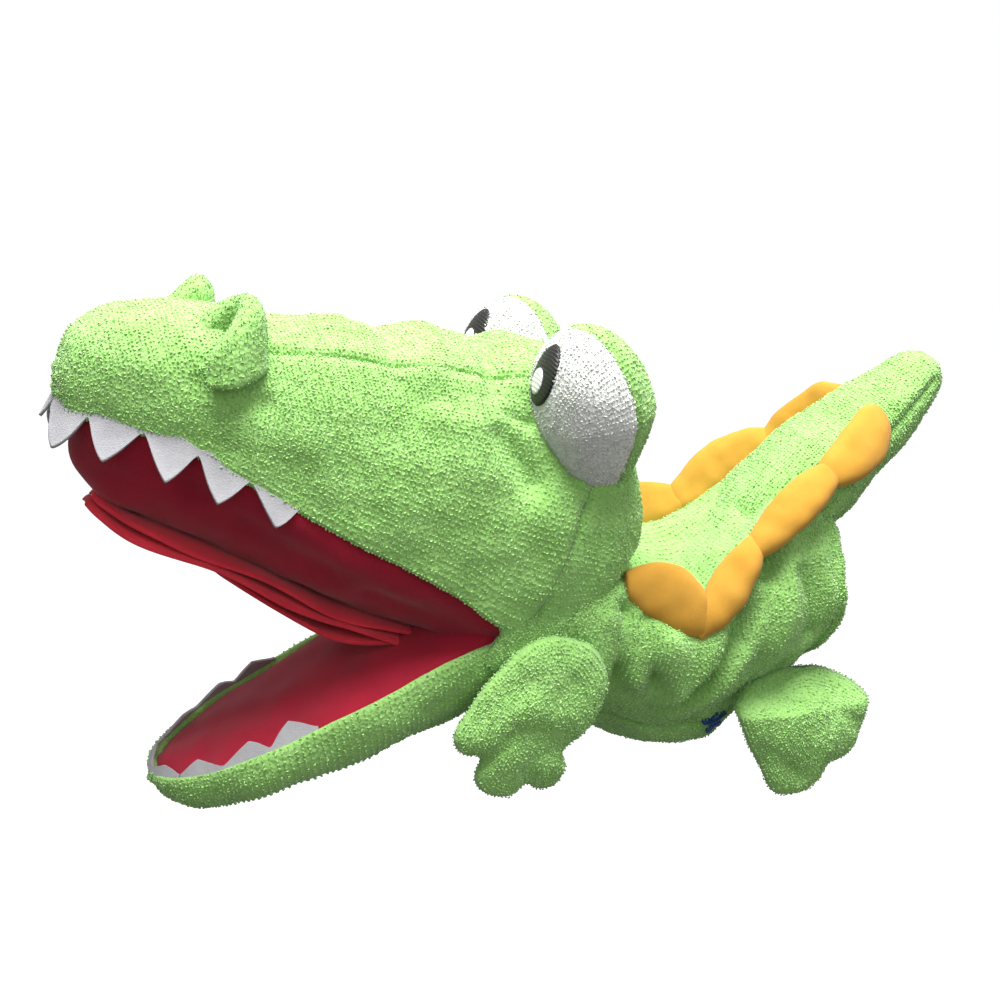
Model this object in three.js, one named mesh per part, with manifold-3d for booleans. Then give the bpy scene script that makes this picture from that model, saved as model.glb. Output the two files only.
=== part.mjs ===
// Crocodile hand puppet, wide open mouth. Millimetres, +Z up.
// Origin: centre of the hand opening. +X points from snout to hand opening.
// -Y is the puppet's own left side.
import * as THREE from 'three';
import { mergeVertices } from 'three/addons/utils/BufferGeometryUtils.js';
import Module from 'manifold-3d';

const wasm = await Module();
wasm.setup();

// driving sizes
const headHalfWidth = 52;
const jawHalfWidth = 48;
const sleeveHalfWidth = 49;
const cloth = 2.0;        // terry cloth with its pile
const seam = 0.3;         // gap left between sewn pieces
const liningThick = 1.2;
const boardThick = 1.6;
const feltThick = 1.2;
const upperToothHeight = 17;
const lowerToothHeight = 9;
const tongueLayer = 3.0;
const legThick = 13;
const nostrilHeight = 27;
const eyeSize = new THREE.Vector3(27, 26, 38);
const gussetHalfWidth = 22;
const tailHalfThick = 20.5;
const tailHalfWidth = 30;
const tailSwing = 12 * Math.PI / 180;

const feltInset = 0.3;                    // felt hangs just inside the cloth edge
const liningEdge = cloth + 0.6;           // linings stop inside the cloth
const headEnd = 13.7;                     // where the head cloth stops above the neck
const farAway = 600;

const colours = {
  terry: ['#8fd45f', 0.95],
  velour: ['#f2d43a', 0.9],
  whiteTerry: ['#eef0ea', 0.95],
  felt: ['#e4e6e2', 0.92],
  black: ['#141414', 0.6],
  crimson: ['#9c1830', 0.8],
  red: ['#d8202c', 0.85],
  board: ['#c9c2b0', 0.7],
  fibre: ['#f4f4f0', 1.0],
  blue: ['#2f62b8', 0.6],
};

// ---- closed solids from point grids ----

function fromTriangles(points) {
  const flat = [];
  points.forEach((p) => flat.push(p.x, p.y, p.z));
  const soup = new THREE.BufferGeometry();
  soup.setAttribute('position', new THREE.Float32BufferAttribute(flat, 3));
  return cleaned(soup);
}

function cleaned(source) {
  const bare = new THREE.BufferGeometry();
  bare.setAttribute('position', source.getAttribute('position').clone());
  if (source.index) {
    bare.setIndex(source.index.clone());
  }
  const merged = mergeVertices(bare, 1e-3);
  const old = merged.index.array;
  const kept = [];
  for (let i = 0; i < old.length; i += 3) {
    const [a, b, c] = [old[i], old[i + 1], old[i + 2]];
    if (a !== b && b !== c && a !== c) {
      kept.push(a, b, c);
    }
  }
  if (signedVolume(merged, kept) < 0) {
    for (let i = 0; i < kept.length; i += 3) {
      [kept[i], kept[i + 1]] = [kept[i + 1], kept[i]];
    }
  }
  merged.setIndex(kept);
  return merged;
}

function signedVolume(geometry, index) {
  const p = geometry.getAttribute('position');
  const [a, b, c] = [new THREE.Vector3(), new THREE.Vector3(), new THREE.Vector3()];
  let total = 0;
  for (let i = 0; i < index.length; i += 3) {
    a.fromBufferAttribute(p, index[i]);
    b.fromBufferAttribute(p, index[i + 1]);
    c.fromBufferAttribute(p, index[i + 2]);
    total += a.dot(b.cross(c));
  }
  return total;
}

// closed rings joined in a row, both ends capped
function loft(rings) {
  const tris = [];
  const count = rings[0].length;
  for (let i = 0; i + 1 < rings.length; i += 1) {
    for (let j = 0; j < count; j += 1) {
      const k = (j + 1) % count;
      tris.push(rings[i][j], rings[i][k], rings[i + 1][k]);
      tris.push(rings[i][j], rings[i + 1][k], rings[i + 1][j]);
    }
  }
  const caps = [[rings[0], false], [rings[rings.length - 1], true]];
  caps.forEach(([ring, ahead]) => {
    const middle = new THREE.Vector3();
    ring.forEach((p) => middle.addScaledVector(p, 1 / count));
    for (let j = 0; j < count; j += 1) {
      const k = (j + 1) % count;
      tris.push(middle, ahead ? ring[j] : ring[k], ahead ? ring[k] : ring[j]);
    }
  });
  return fromTriangles(tris);
}

// sheet of cloth: two open grids joined round their border
function slab(outer, inner) {
  const rows = outer.length - 1;
  const columns = outer[0].length - 1;
  const rings = [];
  for (let i = 0; i <= rows; i += 1) {
    rings.push([...outer[i], ...[...inner[i]].reverse()]);
  }
  const tris = [];
  const count = rings[0].length;
  for (let i = 0; i < rows; i += 1) {
    for (let j = 0; j < count; j += 1) {
      const k = (j + 1) % count;
      tris.push(rings[i][j], rings[i][k], rings[i + 1][k]);
      tris.push(rings[i][j], rings[i + 1][k], rings[i + 1][j]);
    }
  }
  [[0, false], [rows, true]].forEach(([i, ahead]) => {
    for (let j = 0; j < columns; j += 1) {
      const quad = [outer[i][j], outer[i][j + 1], inner[i][j + 1], inner[i][j]];
      const order = ahead ? quad : [...quad].reverse();
      tris.push(order[0], order[1], order[2], order[0], order[2], order[3]);
    }
  });
  return fromTriangles(tris);
}

function ellipsoid(centre, radii, around, along) {
  const ball = new THREE.SphereGeometry(1, around, along);
  ball.scale(radii.x, radii.y, radii.z);
  ball.translate(centre.x, centre.y, centre.z);
  return cleaned(ball);
}

// outline in the XZ plane pushed from y0 to y1
function prismY(outline, y0, y1) {
  const shape = new THREE.Shape(outline.map(([x, z]) => new THREE.Vector2(x, z)));
  const solid = new THREE.ExtrudeGeometry(shape, { depth: y1 - y0, bevelEnabled: false });
  solid.rotateX(Math.PI / 2);
  solid.translate(0, y1, 0);
  return cleaned(solid);
}

// outline in the YZ plane pushed from x0 to x1
function prismX(outline, x0, x1) {
  const shape = new THREE.Shape(outline.map(([y, z]) => new THREE.Vector2(y, z)));
  const solid = new THREE.ExtrudeGeometry(shape, { depth: x1 - x0, bevelEnabled: false });
  solid.rotateX(Math.PI / 2);
  solid.rotateZ(Math.PI / 2);
  solid.translate(x0, 0, 0);
  return cleaned(solid);
}

// ---- joins and cuts ----

function body(geometry) {
  return new wasm.Manifold(new wasm.Mesh({
    numProp: 3,
    vertProperties: new Float32Array(geometry.getAttribute('position').array),
    triVerts: new Uint32Array(geometry.index.array),
  }));
}

function shaped(manifold) {
  const mesh = manifold.getMesh();
  const geometry = new THREE.BufferGeometry();
  geometry.setAttribute('position', new THREE.Float32BufferAttribute(mesh.vertProperties, 3));
  geometry.setIndex(Array.from(mesh.triVerts));
  return geometry;
}

function cut(from, ...tools) {
  let left = body(from);
  tools.forEach((tool) => {
    left = left.subtract(body(tool));
  });
  return shaped(left);
}

function common(a, b) {
  return shaped(body(a).intersect(body(b)));
}

function joined(a, b) {
  return shaped(body(a).add(body(b)));
}

function mirrored(geometry) {
  const copy = geometry.clone();
  copy.scale(1, -1, 1);
  return cleaned(copy);
}

// ---- upper jaw and head ----
// edge x, edge z, share of half width, crown x, crown z, cheek bulge
const headStations = [
  [-349, 118, 0.08, -347, 129, 0.00],
  [-343, 115, 0.29, -341, 140, 0.02],
  [-331, 112, 0.50, -330, 147, 0.04],
  [-314, 106, 0.65, -313, 149, 0.05],
  [-291, 94, 0.81, -288, 147, 0.04],
  [-266, 77, 0.90, -260, 143, 0.02],
  [-240, 60, 0.94, -230, 141, 0.00],
  [-214, 44, 0.96, -200, 136, 0.02],
  [-193, 30, 0.98, -172, 131, 0.08],
  [-176, 18, 1.00, -146, 128, 0.13],
  [-158, 10, 1.00, -122, 118, 0.14],
  [-143, 9, 0.98, -106, 99, 0.10],
  [-133, 13, 0.95, -98, 79, 0.06],
  [-125, 20, 0.91, -96, 63, 0.03],
  [-118, 29, 0.86, -99, 50, 0.00],
];

// edge x, edge z, share of half width, keel x, keel z, bulge
const jawStations = [
  [-321, -53, 0.08, -319, -59, 0],
  [-317, -51, 0.31, -314, -63, 0],
  [-305, -47, 0.58, -302, -65, 0.02],
  [-286, -39, 0.81, -281, -62, 0.03],
  [-251, -25, 0.95, -245, -54, 0.03],
  [-215, -10, 1.00, -208, -44, 0.02],
  [-186, 1, 1.00, -180, -36, 0],
];

function between(stations, u) {
  const last = stations.length - 1;
  const i = Math.min(Math.floor(Math.max(u, 0)), last - 1);
  const t = u - i;
  const at = (k) => stations[Math.min(Math.max(k, 0), last)];
  return stations[0].map((_, c) => {
    const [a, b, d, e] = [at(i - 1)[c], at(i)[c], at(i + 1)[c], at(i + 2)[c]];
    const m0 = (d - a) / 2;
    const m1 = (e - b) / 2;
    const t2 = t * t;
    const t3 = t2 * t;
    return (2 * t3 - 3 * t2 + 1) * b + (t3 - 2 * t2 + t) * m0 + (3 * t2 - 2 * t3) * d + (t3 - t2) * m1;
  });
}

function hoodPoint(stations, halfWidth, u, a) {
  const [ex, ez, share, cx, cz, bulge] = between(stations, u);
  const angle = a * Math.PI / 2;
  const side = Math.sign(angle) * Math.abs(Math.sin(angle)) ** 0.85;
  const rise = Math.abs(Math.cos(angle)) ** 0.8;
  const swell = 1 + bulge * Math.sin(2 * Math.abs(angle));
  return new THREE.Vector3(ex + (cx - ex) * rise, halfWidth * share * side * swell, ez + (cz - ez) * rise);
}

function hoodInset(stations, halfWidth, u, a, inset) {
  const p = hoodPoint(stations, halfWidth, u, a);
  if (inset === 0) {
    return p;
  }
  const top = stations.length - 1;
  const aIn = Math.min(Math.max(a, -0.985), 0.985);
  const du = hoodPoint(stations, halfWidth, Math.min(u + 0.05, top), aIn)
    .sub(hoodPoint(stations, halfWidth, Math.max(u - 0.05, 0), aIn));
  const da = hoodPoint(stations, halfWidth, u, aIn + 0.01).sub(hoodPoint(stations, halfWidth, u, aIn - 0.01));
  const normal = du.cross(da).normalize();
  const [ex, ez, , cx, cz] = between(stations, u);
  const heart = new THREE.Vector3((ex + cx) / 2, 0, (ez + cz) / 2);
  if (normal.dot(p.clone().sub(heart)) < 0) {
    normal.negate();
  }
  return p.addScaledVector(normal, -inset);
}

// hood closed across its open edge; skirt carries the closing face further out
function hood(stations, halfWidth, uA, uB, steps, inset, skirt) {
  const rings = [];
  for (let i = 0; i <= steps; i += 1) {
    const u = uA + (uB - uA) * i / steps;
    const ring = [];
    for (let j = 0; j <= 14; j += 1) {
      ring.push(hoodInset(stations, halfWidth, u, -1 + j / 7, inset));
    }
    if (skirt > 0) {
      const [ex, ez, , cx, cz] = between(stations, u);
      const down = new THREE.Vector3(ex - cx, 0, ez - cz).setLength(skirt);
      ring.push(ring[14].clone().add(down), ring[0].clone().add(down));
    }
    rings.push(ring);
  }
  return loft(rings);
}

function headSolid(inset, skirt, uA = 0, uB = 14) {
  return hood(headStations, headHalfWidth, uA, uB, 16, inset, skirt);
}

function jawSolid(inset, skirt, uA = 0, uB = 6) {
  return hood(jawStations, jawHalfWidth, uA, uB, 9, inset, skirt);
}

const headShell = cut(headSolid(0, 0, 0, headEnd), headSolid(cloth, 14, 0.4, 14));
const headOutside = headSolid(-2 * seam, 0, 0, headEnd);
const seamFront = -275;
const half = seam / 2;

function headPanel(outline, y0, y1) {
  return common(headShell, prismY(outline, y0, y1));
}

// cheeks end at a seam from the eye down to the corner of the mouth
const cheekSeam = [[-140, farAway], [-133, 73], [-168, 0], [-168, -100]];

function cheek() {
  const edge = cheekSeam.map(([x, z]) => [x - half, z]);
  return headPanel([[seamFront + half, farAway], ...edge, [seamFront + half, -100]], -farAway, -gussetHalfWidth - half);
}

function topGusset() {
  const edge = cheekSeam.map(([x, z]) => [x - half, z]);
  const outline = [[seamFront + half, farAway], ...edge, [seamFront + half, -100]];
  return headPanel(outline, -gussetHalfWidth + half, gussetHalfWidth - half);
}

function headBack() {
  const edge = cheekSeam.map(([x, z]) => [x + half, z]).reverse();
  return headPanel([...edge, [farAway, farAway], [farAway, -100]], -farAway, farAway);
}

function snoutCover() {
  return headPanel([[-farAway, -100], [-farAway, farAway], [seamFront - half, farAway], [seamFront - half, -100]], -farAway, farAway);
}

function edgeLine(stations, from, to, lift) {
  const line = [];
  for (let u = from; u <= to + 1e-6; u += 0.5) {
    const [x, z] = between(stations, u);
    line.push([x, z + lift]);
  }
  return line;
}

function headStuffing() {
  const filled = headSolid(cloth + 0.6, 0, 0.5, 14);
  const floor = edgeLine(headStations, 0, 8, 9);
  const rear = [[-193, 95], [-188, farAway]];
  return common(filled, prismY([[-farAway, 127], ...floor, ...rear, [-farAway, farAway]], -farAway, farAway));
}

// cloth sheet hung between the two edges of a jaw, sagging by the depth at each station
function mouthSheet(stations, halfWidth, depths, sheet) {
  const [low, high] = [[], []];
  for (let i = 0; i <= sheet.rows; i += 1) {
    const u = sheet.from + (sheet.to - sheet.from) * i / sheet.rows;
    const edge = edgePoint(stations, halfWidth, u, 1, liningEdge);
    const [depth] = between(depths, u);
    const [a, b] = [[], []];
    for (let j = 0; j <= sheet.columns; j += 1) {
      const t = (-1 + 2 * j / sheet.columns) * sheet.share;
      const level = edge.z - depth * (1 - t * t) ** 0.9 + sheet.lift;
      a.push(new THREE.Vector3(edge.x, edge.y * t, level));
      b.push(new THREE.Vector3(edge.x, edge.y * t, level + sheet.thick));
    }
    low.push(a);
    high.push(b);
  }
  return slab(low, high);
}

const palateDepths = [[4], [12], [24], [30], [33], [34], [34], [32], [26], [17], [14]];
const floorDepths = [[2], [4], [7], [10], [13], [19], [24]];
const flat = [[0], [0]];

function palateLining() {
  const sheet = { from: 1, to: 8.8, rows: 9, columns: 8, share: 1, lift: 0, thick: liningThick };
  return mouthSheet(headStations, headHalfWidth, palateDepths, sheet);
}

function upperBoard() {
  const sheet = { from: 2.2, to: 7.8, rows: 5, columns: 2, share: 0.88, lift: 5.2, thick: boardThick };
  return mouthSheet(headStations, headHalfWidth, flat, sheet);
}

function lowerLining() {
  const sheet = { from: 1, to: 5.9, rows: 6, columns: 8, share: 1, lift: -0.2, thick: liningThick };
  return mouthSheet(jawStations, jawHalfWidth, floorDepths, sheet);
}

function lowerBoard() {
  const sink = -0.2 - 2 * seam - boardThick;
  const sheet = { from: 1.5, to: 5.4, rows: 5, columns: 6, share: 0.7, lift: sink - 0.6, thick: boardThick };
  return mouthSheet(jawStations, jawHalfWidth, floorDepths, sheet);
}

function jawCover() {
  return cut(jawSolid(0, 0, 0, 5.8), jawSolid(cloth, 20, 0.4, 6));
}

function jawStuffing() {
  const ceiling = edgeLine(jawStations, 1, 3.5, -15);
  const outline = [[-farAway, -62], ...ceiling, [-268, -farAway], [-farAway, -farAway]];
  return common(jawSolid(cloth + 0.6, 0, 0.6, 6), prismY(outline, -farAway, farAway));
}

// ---- felt teeth ----

function edgePoint(stations, halfWidth, u, side, inset) {
  const plan = (v) => {
    const [x, , share] = between(stations, v);
    return new THREE.Vector2(x, halfWidth * share);
  };
  const here = plan(u);
  const run = plan(u + 0.05).sub(plan(Math.max(u - 0.05, 0))).normalize();
  const [, z] = between(stations, u);
  return new THREE.Vector3(here.x + run.y * inset, side * (here.y - run.x * inset), z);
}

const gap = 3 * seam;

function toothStrip(stations, halfWidth, uA, uB, count, height, up, lean) {
  const columns = count * 4;
  const grids = [feltInset, feltInset + feltThick].map((inset) => {
    const rows = [[], []];
    for (let i = 0; i <= columns; i += 1) {
      const u = uA + (uB - uA) * i / columns;
      const edge = edgePoint(stations, halfWidth, u, -1, inset);
      const tip = 1 - Math.abs((i % 4) - 2) / 2;
      const long = 2.5 + (height - 2.5) * tip;
      rows[0].push(edge.clone().add(new THREE.Vector3(0, 0, up * gap)));
      rows[1].push(edge.clone().add(new THREE.Vector3(0, -lean * long, up * long)));
    }
    return rows;
  });
  return slab(grids[0], grids[1]);
}

// one tooth wrapped round the middle of the jaw tip
function frontTooth(stations, halfWidth, span, height, up) {
  const grids = [feltInset, feltInset + feltThick].map((inset) => {
    const rows = [[], []];
    for (let i = -3; i <= 3; i += 1) {
      const side = i < 0 ? -1 : 1;
      const edge = edgePoint(stations, halfWidth, Math.abs(i) / 3 * span + 0.12, side, inset);
      if (i === 0) {
        edge.y = 0;
      }
      const long = 2.5 + (height - 2.5) * (1 - Math.abs(i) / 3);
      rows[0].push(edge.clone().add(new THREE.Vector3(0, 0, up * gap)));
      rows[1].push(edge.clone().add(new THREE.Vector3(0, 0, up * long)));
    }
    return rows;
  });
  return slab(grids[0], grids[1]);
}

function upperTeeth() {
  return toothStrip(headStations, headHalfWidth, 0.9, 6.2, 5, upperToothHeight, -1, 0.12);
}

function lowerTeeth() {
  return toothStrip(jawStations, jawHalfWidth, 0.9, 4.4, 4, lowerToothHeight, 1, 0.35);
}

// ---- tongue ----
const tongueLine = [
  [-187, -1, 17], [-203, 2, 21], [-222, 9, 23], [-240, 18, 23], [-257, 29, 23],
  [-285, 46, 22], [-307, 57, 20], [-323, 65, 15], [-334, 72, 7],
];

function tongueSheet(top, thick, from, to, spread) {
  const [upper, lower] = [[], []];
  for (let i = from; i <= to; i += 1) {
    const [x, z, reach] = tongueLine[i];
    const [a, b] = [[], []];
    for (let j = 0; j <= 6; j += 1) {
      const t = -1 + j / 3;
      const y = reach * spread * t;
      const droop = 2 * t * t;
      a.push(new THREE.Vector3(x, y, z + top - droop));
      b.push(new THREE.Vector3(x, y, z + top - thick - droop));
    }
    upper.push(a);
    lower.push(b);
  }
  return slab(upper, lower);
}

// ---- nostrils ----
const nostrilPlace = new THREE.Vector3(-283, -31, 126);

function nostrilCup(radius, thick, height) {
  const [outer, inner] = [[], []];
  const tall = height + 8;
  for (let i = 0; i <= 10; i += 1) {
    const angle = (-125 + 25 * i) * Math.PI / 180;
    const rise = tall * Math.cos(angle * 0.55);
    const [a, b] = [[], []];
    for (let j = 0; j <= 3; j += 1) {
      const h = rise * j / 3;
      const draw = 1 - 0.3 * (h / tall) ** 2;
      const place = (r) => new THREE.Vector3(
        nostrilPlace.x + r * draw * Math.cos(angle) - 0.12 * h,
        nostrilPlace.y + r * draw * Math.sin(angle),
        nostrilPlace.z + h,
      );
      a.push(place(radius));
      b.push(place(radius - thick));
    }
    outer.push(a);
    inner.push(b);
  }
  return cut(slab(outer, inner), headOutside);
}

// ---- eyes ----
const eyePlace = new THREE.Vector3(-129, 10 - headHalfWidth, 101);
const eyeSeamNormal = new THREE.Vector3(-0.92, -0.39, 0);

function eyeHalf(front) {
  const ball = ellipsoid(eyePlace, eyeSize, 16, 10);
  const block = new THREE.BoxGeometry(farAway, farAway, farAway);
  const shift = (farAway / 2 + half) * (front ? 1 : -1);
  block.translate(shift, 0, 0);
  block.rotateZ(Math.atan2(eyeSeamNormal.y, eyeSeamNormal.x));
  block.translate(eyePlace.x, eyePlace.y, eyePlace.z);
  return cut(common(ball, cleaned(block)), headOutside);
}

function eyePatch(wide, tall, low, high, across, rise) {
  const grow = (d) => eyeSize.clone().addScalar(d);
  const layer = cut(ellipsoid(eyePlace, grow(high), 16, 10), ellipsoid(eyePlace, grow(low), 16, 10));
  const oval = new THREE.CylinderGeometry(1, 1, 60, 14);
  oval.scale(wide, 1, tall);
  oval.rotateX(Math.PI / 2);
  oval.rotateX(-Math.PI / 2);
  oval.rotateZ(Math.PI / 2);
  oval.translate(-32, 0, 0);
  const facing = new THREE.Matrix4().makeRotationZ(across).multiply(new THREE.Matrix4().makeRotationY(rise));
  oval.applyMatrix4(facing);
  oval.translate(eyePlace.x, eyePlace.y, eyePlace.z);
  return cut(common(layer, cleaned(oval)), headOutside);
}

// ---- hand sleeve ----
// x, top, bottom, share of half width
const sleeveStations = [
  [-112, 25, -56, 0.95],
  [-95, 27, -66, 0.98],
  [-75, 27, -71, 1.00],
  [-55, 29, -69, 1.00],
  [-35, 35, -60, 0.98],
  [-15, 36, -44, 0.94],
  [0, 33, -31, 0.90],
];

function sleeveSolid(inset, x0, x1, steps = 7) {
  const rings = [];
  for (let i = 0; i <= steps; i += 1) {
    const x = x0 + (x1 - x0) * i / steps;
    let u = 0;
    while (u < 5.99 && between(sleeveStations, u)[0] < x) {
      u += 0.02;
    }
    const [, top, bottom, share] = between(sleeveStations, u);
    const ring = [];
    for (let j = 0; j < 20; j += 1) {
      const angle = j / 20 * 2 * Math.PI;
      const bend = (v) => Math.sign(v) * Math.abs(v) ** 0.82;
      const y = (sleeveHalfWidth * share - inset) * bend(Math.sin(angle));
      const z = (top + bottom) / 2 + ((top - bottom) / 2 - inset) * bend(Math.cos(angle));
      ring.push(new THREE.Vector3(x, y, z));
    }
    rings.push(ring);
  }
  return loft(rings);
}

const hemWidth = 9;
const sleeveFront = -111.7;
const sleeveTube = cut(sleeveSolid(0, sleeveFront, -hemWidth - seam), sleeveSolid(cloth, sleeveFront - 5, 5));
const sleeveOutside = sleeveSolid(-2 * seam, sleeveFront - 1, 12);
const hemOutside = sleeveSolid(-2.2, -hemWidth - 1, 12, 1);
const backSeam = 12;
const bellyHalf = 27;
const bellyTop = -20;

function backPanel() {
  const above = [[-90, backSeam + half], [90, backSeam + half], [90, 120], [-90, 120]];
  return common(sleeveTube, prismX(above, -200, 50));
}

function sidePanel() {
  const low = backSeam - half;
  const outline = [[-90, low], [0, low], [0, bellyTop], [-bellyHalf - half, bellyTop], [-bellyHalf - half, -120], [-90, -120]];
  return common(sleeveTube, prismX(outline, -200, 50));
}

function bellyPanel() {
  const edge = bellyHalf - half;
  const outline = [[-edge, bellyTop], [edge, bellyTop], [edge, -120], [-edge, -120]];
  return common(sleeveTube, prismX(outline, -200, 50));
}

function cuffHem() {
  return cut(sleeveSolid(-1.0, -hemWidth, 0, 1), sleeveSolid(cloth + 0.2, -hemWidth - 5, 5, 1));
}

// small stitched leaf on the belly
function bellyStitching() {
  const layer = cut(sleeveSolid(-1.1, -100, -20), sleeveSolid(-seam, -110, -10));
  const leaf = new THREE.CylinderGeometry(1, 1, 60, 12);
  leaf.scale(9, 1, 5);
  leaf.rotateX(Math.PI / 2);
  leaf.rotateZ(0.4);
  leaf.translate(-56, -20, -66);
  return common(layer, cleaned(leaf));
}

// throat: lower half of the neck, between jaw and sleeve
// x, edge height, bottom, share of half width
const throatStations = [[-163, 0, -38, 0.90], [-147, 1, -44, 0.93], [-130, 3, -50, 0.95], [-112, 5, -56, 0.95]];

function throatPanel() {
  const [outer, inner] = [[], []];
  for (let i = 0; i <= 6; i += 1) {
    const [x, edge, bottom, share] = between(throatStations, i / 2);
    const [a, b] = [[], []];
    for (let j = 0; j <= 14; j += 1) {
      const angle = (-90 + 180 * j / 14) * Math.PI / 180;
      const bend = (v) => Math.sign(v) * Math.abs(v) ** 0.82;
      const place = (inset) => new THREE.Vector3(
        x - (i === 6 ? seam : 0),
        (sleeveHalfWidth * share - inset) * bend(Math.sin(angle)),
        edge - (edge - bottom - inset) * bend(Math.max(Math.cos(angle), 0)),
      );
      a.push(place(0));
      b.push(place(cloth));
    }
    outer.push(a);
    inner.push(b);
  }
  return slab(outer, inner);
}

// ---- tail ----
const tailAway = new THREE.Vector3(0.8, 0, 0.6);
const tailUp = new THREE.Vector3(-0.6, 0, 0.8);
const tailRoot = new THREE.Vector3(8, 0, 58);

function tailRing(reach, thick, wide) {
  const ring = [];
  for (let j = 0; j < 16; j += 1) {
    const angle = j / 16 * 2 * Math.PI;
    ring.push(tailRoot.clone()
      .addScaledVector(tailAway, reach)
      .addScaledVector(tailUp, thick * Math.cos(angle))
      .add(new THREE.Vector3(0, wide * Math.sin(angle), 0)));
  }
  return ring;
}

function tailWhole() {
  const shape = [[0, 1, 1], [16, 0.98, 0.95], [34, 0.94, 0.86], [50, 0.84, 0.72], [62, 0.68, 0.58], [69, 0.5, 0.42], [73, 0.26, 0.22]];
  const tube = loft(shape.map(([reach, t, w]) => tailRing(reach, tailHalfThick * t, tailHalfWidth * w)));
  const knuckle = new THREE.Vector3(tailHalfThick, tailHalfWidth, tailHalfThick);
  return joined(tube, ellipsoid(tailRoot, knuckle.multiplyScalar(0.995), 16, 8));
}

const tailSolid = tailWhole();
const tailOutside = (() => {
  const grown = tailSolid.clone();
  const middle = tailRoot.clone().addScaledVector(tailAway, 30);
  grown.translate(-middle.x, -middle.y, -middle.z);
  grown.scale(1.03, 1.03, 1.03);
  grown.translate(middle.x, middle.y, middle.z);
  return grown;
})();

// top and underside of the tail meet in a seam along its side
function tailHalf(upper) {
  const block = new THREE.BoxGeometry(farAway, farAway, farAway);
  block.translate(0, 0, (farAway / 2 + half) * (upper ? 1 : -1));
  block.rotateY(-Math.atan2(tailAway.z, tailAway.x));
  block.translate(tailRoot.x, 0, tailRoot.z);
  return common(tailSolid, cleaned(block));
}

function rumpSolid() {
  const shape = [[-56, 0.7, 0.9], [-40, 1.0, 1.15], [-22, 1.07, 1.15], [-3, 1.06, 1.08]];
  return loft(shape.map(([reach, t, w]) => tailRing(reach, tailHalfThick * t, tailHalfWidth * w)));
}

function rump() {
  const clear = tailHalfThick / Math.cos(tailSwing) + 0.4;
  const socket = ellipsoid(tailRoot, new THREE.Vector3(clear, tailHalfWidth + 0.6, clear), 20, 10);
  return cut(rumpSolid(), sleeveOutside, hemOutside, socket);
}

// ---- crest: stuffed velour rolls in two rows along the back ----

function roll(points, wide, high, ...tools) {
  const path = new THREE.CatmullRomCurve3(points.map((p) => new THREE.Vector3(...p)));
  const rings = [];
  const steps = 6;
  for (let i = 0; i <= steps; i += 1) {
    const t = i / steps;
    const p = path.getPointAt(t);
    const along = path.getTangentAt(t);
    const out = new THREE.Vector3(0, Math.sign(p.y), 0.9).normalize();
    const side = new THREE.Vector3().crossVectors(along, out).normalize();
    const top = new THREE.Vector3().crossVectors(side, along).normalize();
    const full = Math.sqrt(Math.max(1 - (2 * t - 1) ** 4, 0)) * 0.9 + 0.1;
    const ring = [];
    for (let j = 0; j < 10; j += 1) {
      const angle = j / 10 * 2 * Math.PI;
      ring.push(p.clone()
        .addScaledVector(side, wide * full * Math.cos(angle))
        .addScaledVector(top, high * full * Math.sin(angle)));
    }
    rings.push(ring);
  }
  return cut(loft(rings), ...tools);
}

const crestRolls = {
  crest_left_neck: [[-108, -46, 18], [-97, -47, 15], [-84, -49, 8]],
  crest_left_mid: [[-78, -50, 4], [-66, -49, 14], [-54, -46, 28]],
  crest_left_rump: [[-47, -43, 34], [-31, -41, 45], [-13, -35, 60]],
  crest_right_neck: [[-107, 44, 26], [-95, 43, 27], [-80, 41, 27]],
  crest_right_mid: [[-73, 40, 29], [-60, 40, 31], [-47, 38, 37]],
  crest_right_rump: [[-40, 38, 42], [-27, 35, 53], [-13, 32, 63]],
};

const tailRolls = {
  crest_left_tail: [[3, -27, 76], [14, -25, 84], [26, -21, 92]],
  crest_right_tail: [[3, 27, 76], [14, 25, 84], [26, 21, 92]],
};

// ---- legs: three-toed stuffed mitts ----
const frontLeg = [
  [-168, 1], [-182, -9], [-197, -27], [-199, -34], [-195, -39], [-186, -41], [-187, -52], [-182, -60], [-174, -62],
  [-166, -58], [-160, -62], [-152, -61], [-149, -54], [-149, -46], [-138, -38], [-131, -28], [-128, -18], [-133, -7],
  [-141, 0], [-154, 2],
];
const hindLeg = [
  [-56, -40], [-55, -54], [-50, -66], [-45, -75], [-38, -84], [-27, -87], [-19, -82], [-13, -76], [-3, -72], [3, -63],
  [9, -51], [10, -44], [-2, -36], [-14, -32], [-32, -33],
];

function leg(outline, innerY) {
  const bevel = 3.5;
  const middle = outline.reduce(([a, b], [x, z]) => [a + x / outline.length, b + z / outline.length], [0, 0]);
  const drawn = outline.map(([x, z]) => {
    const away = new THREE.Vector2(x - middle[0], z - middle[1]);
    away.setLength(Math.max(away.length() - bevel, 1));
    return new THREE.Vector2(middle[0] + away.x, middle[1] + away.y);
  });
  const solid = new THREE.ExtrudeGeometry(new THREE.Shape(drawn), {
    depth: legThick - 2 * bevel,
    bevelEnabled: true,
    bevelThickness: bevel,
    bevelSize: bevel,
    bevelSegments: 2,
  });
  solid.rotateX(Math.PI / 2);
  solid.translate(0, -innerY - bevel, 0);
  return cleaned(solid);
}

// ---- assembly ----
const puppet = new THREE.Group();

function add(name, geometry, look) {
  const [colour, rough] = colours[look];
  const plain = geometry.index ? geometry : mergeVertices(geometry);
  plain.computeVertexNormals();
  const material = new THREE.MeshStandardMaterial({ color: colour, roughness: rough, metalness: 0 });
  const mesh = new THREE.Mesh(plain, material);
  mesh.name = name;
  puppet.add(mesh);
}

function addPair(stem, geometry, look) {
  add(`${stem}_left`, geometry, look);
  add(`${stem}_right`, mirrored(geometry), look);
}

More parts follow.
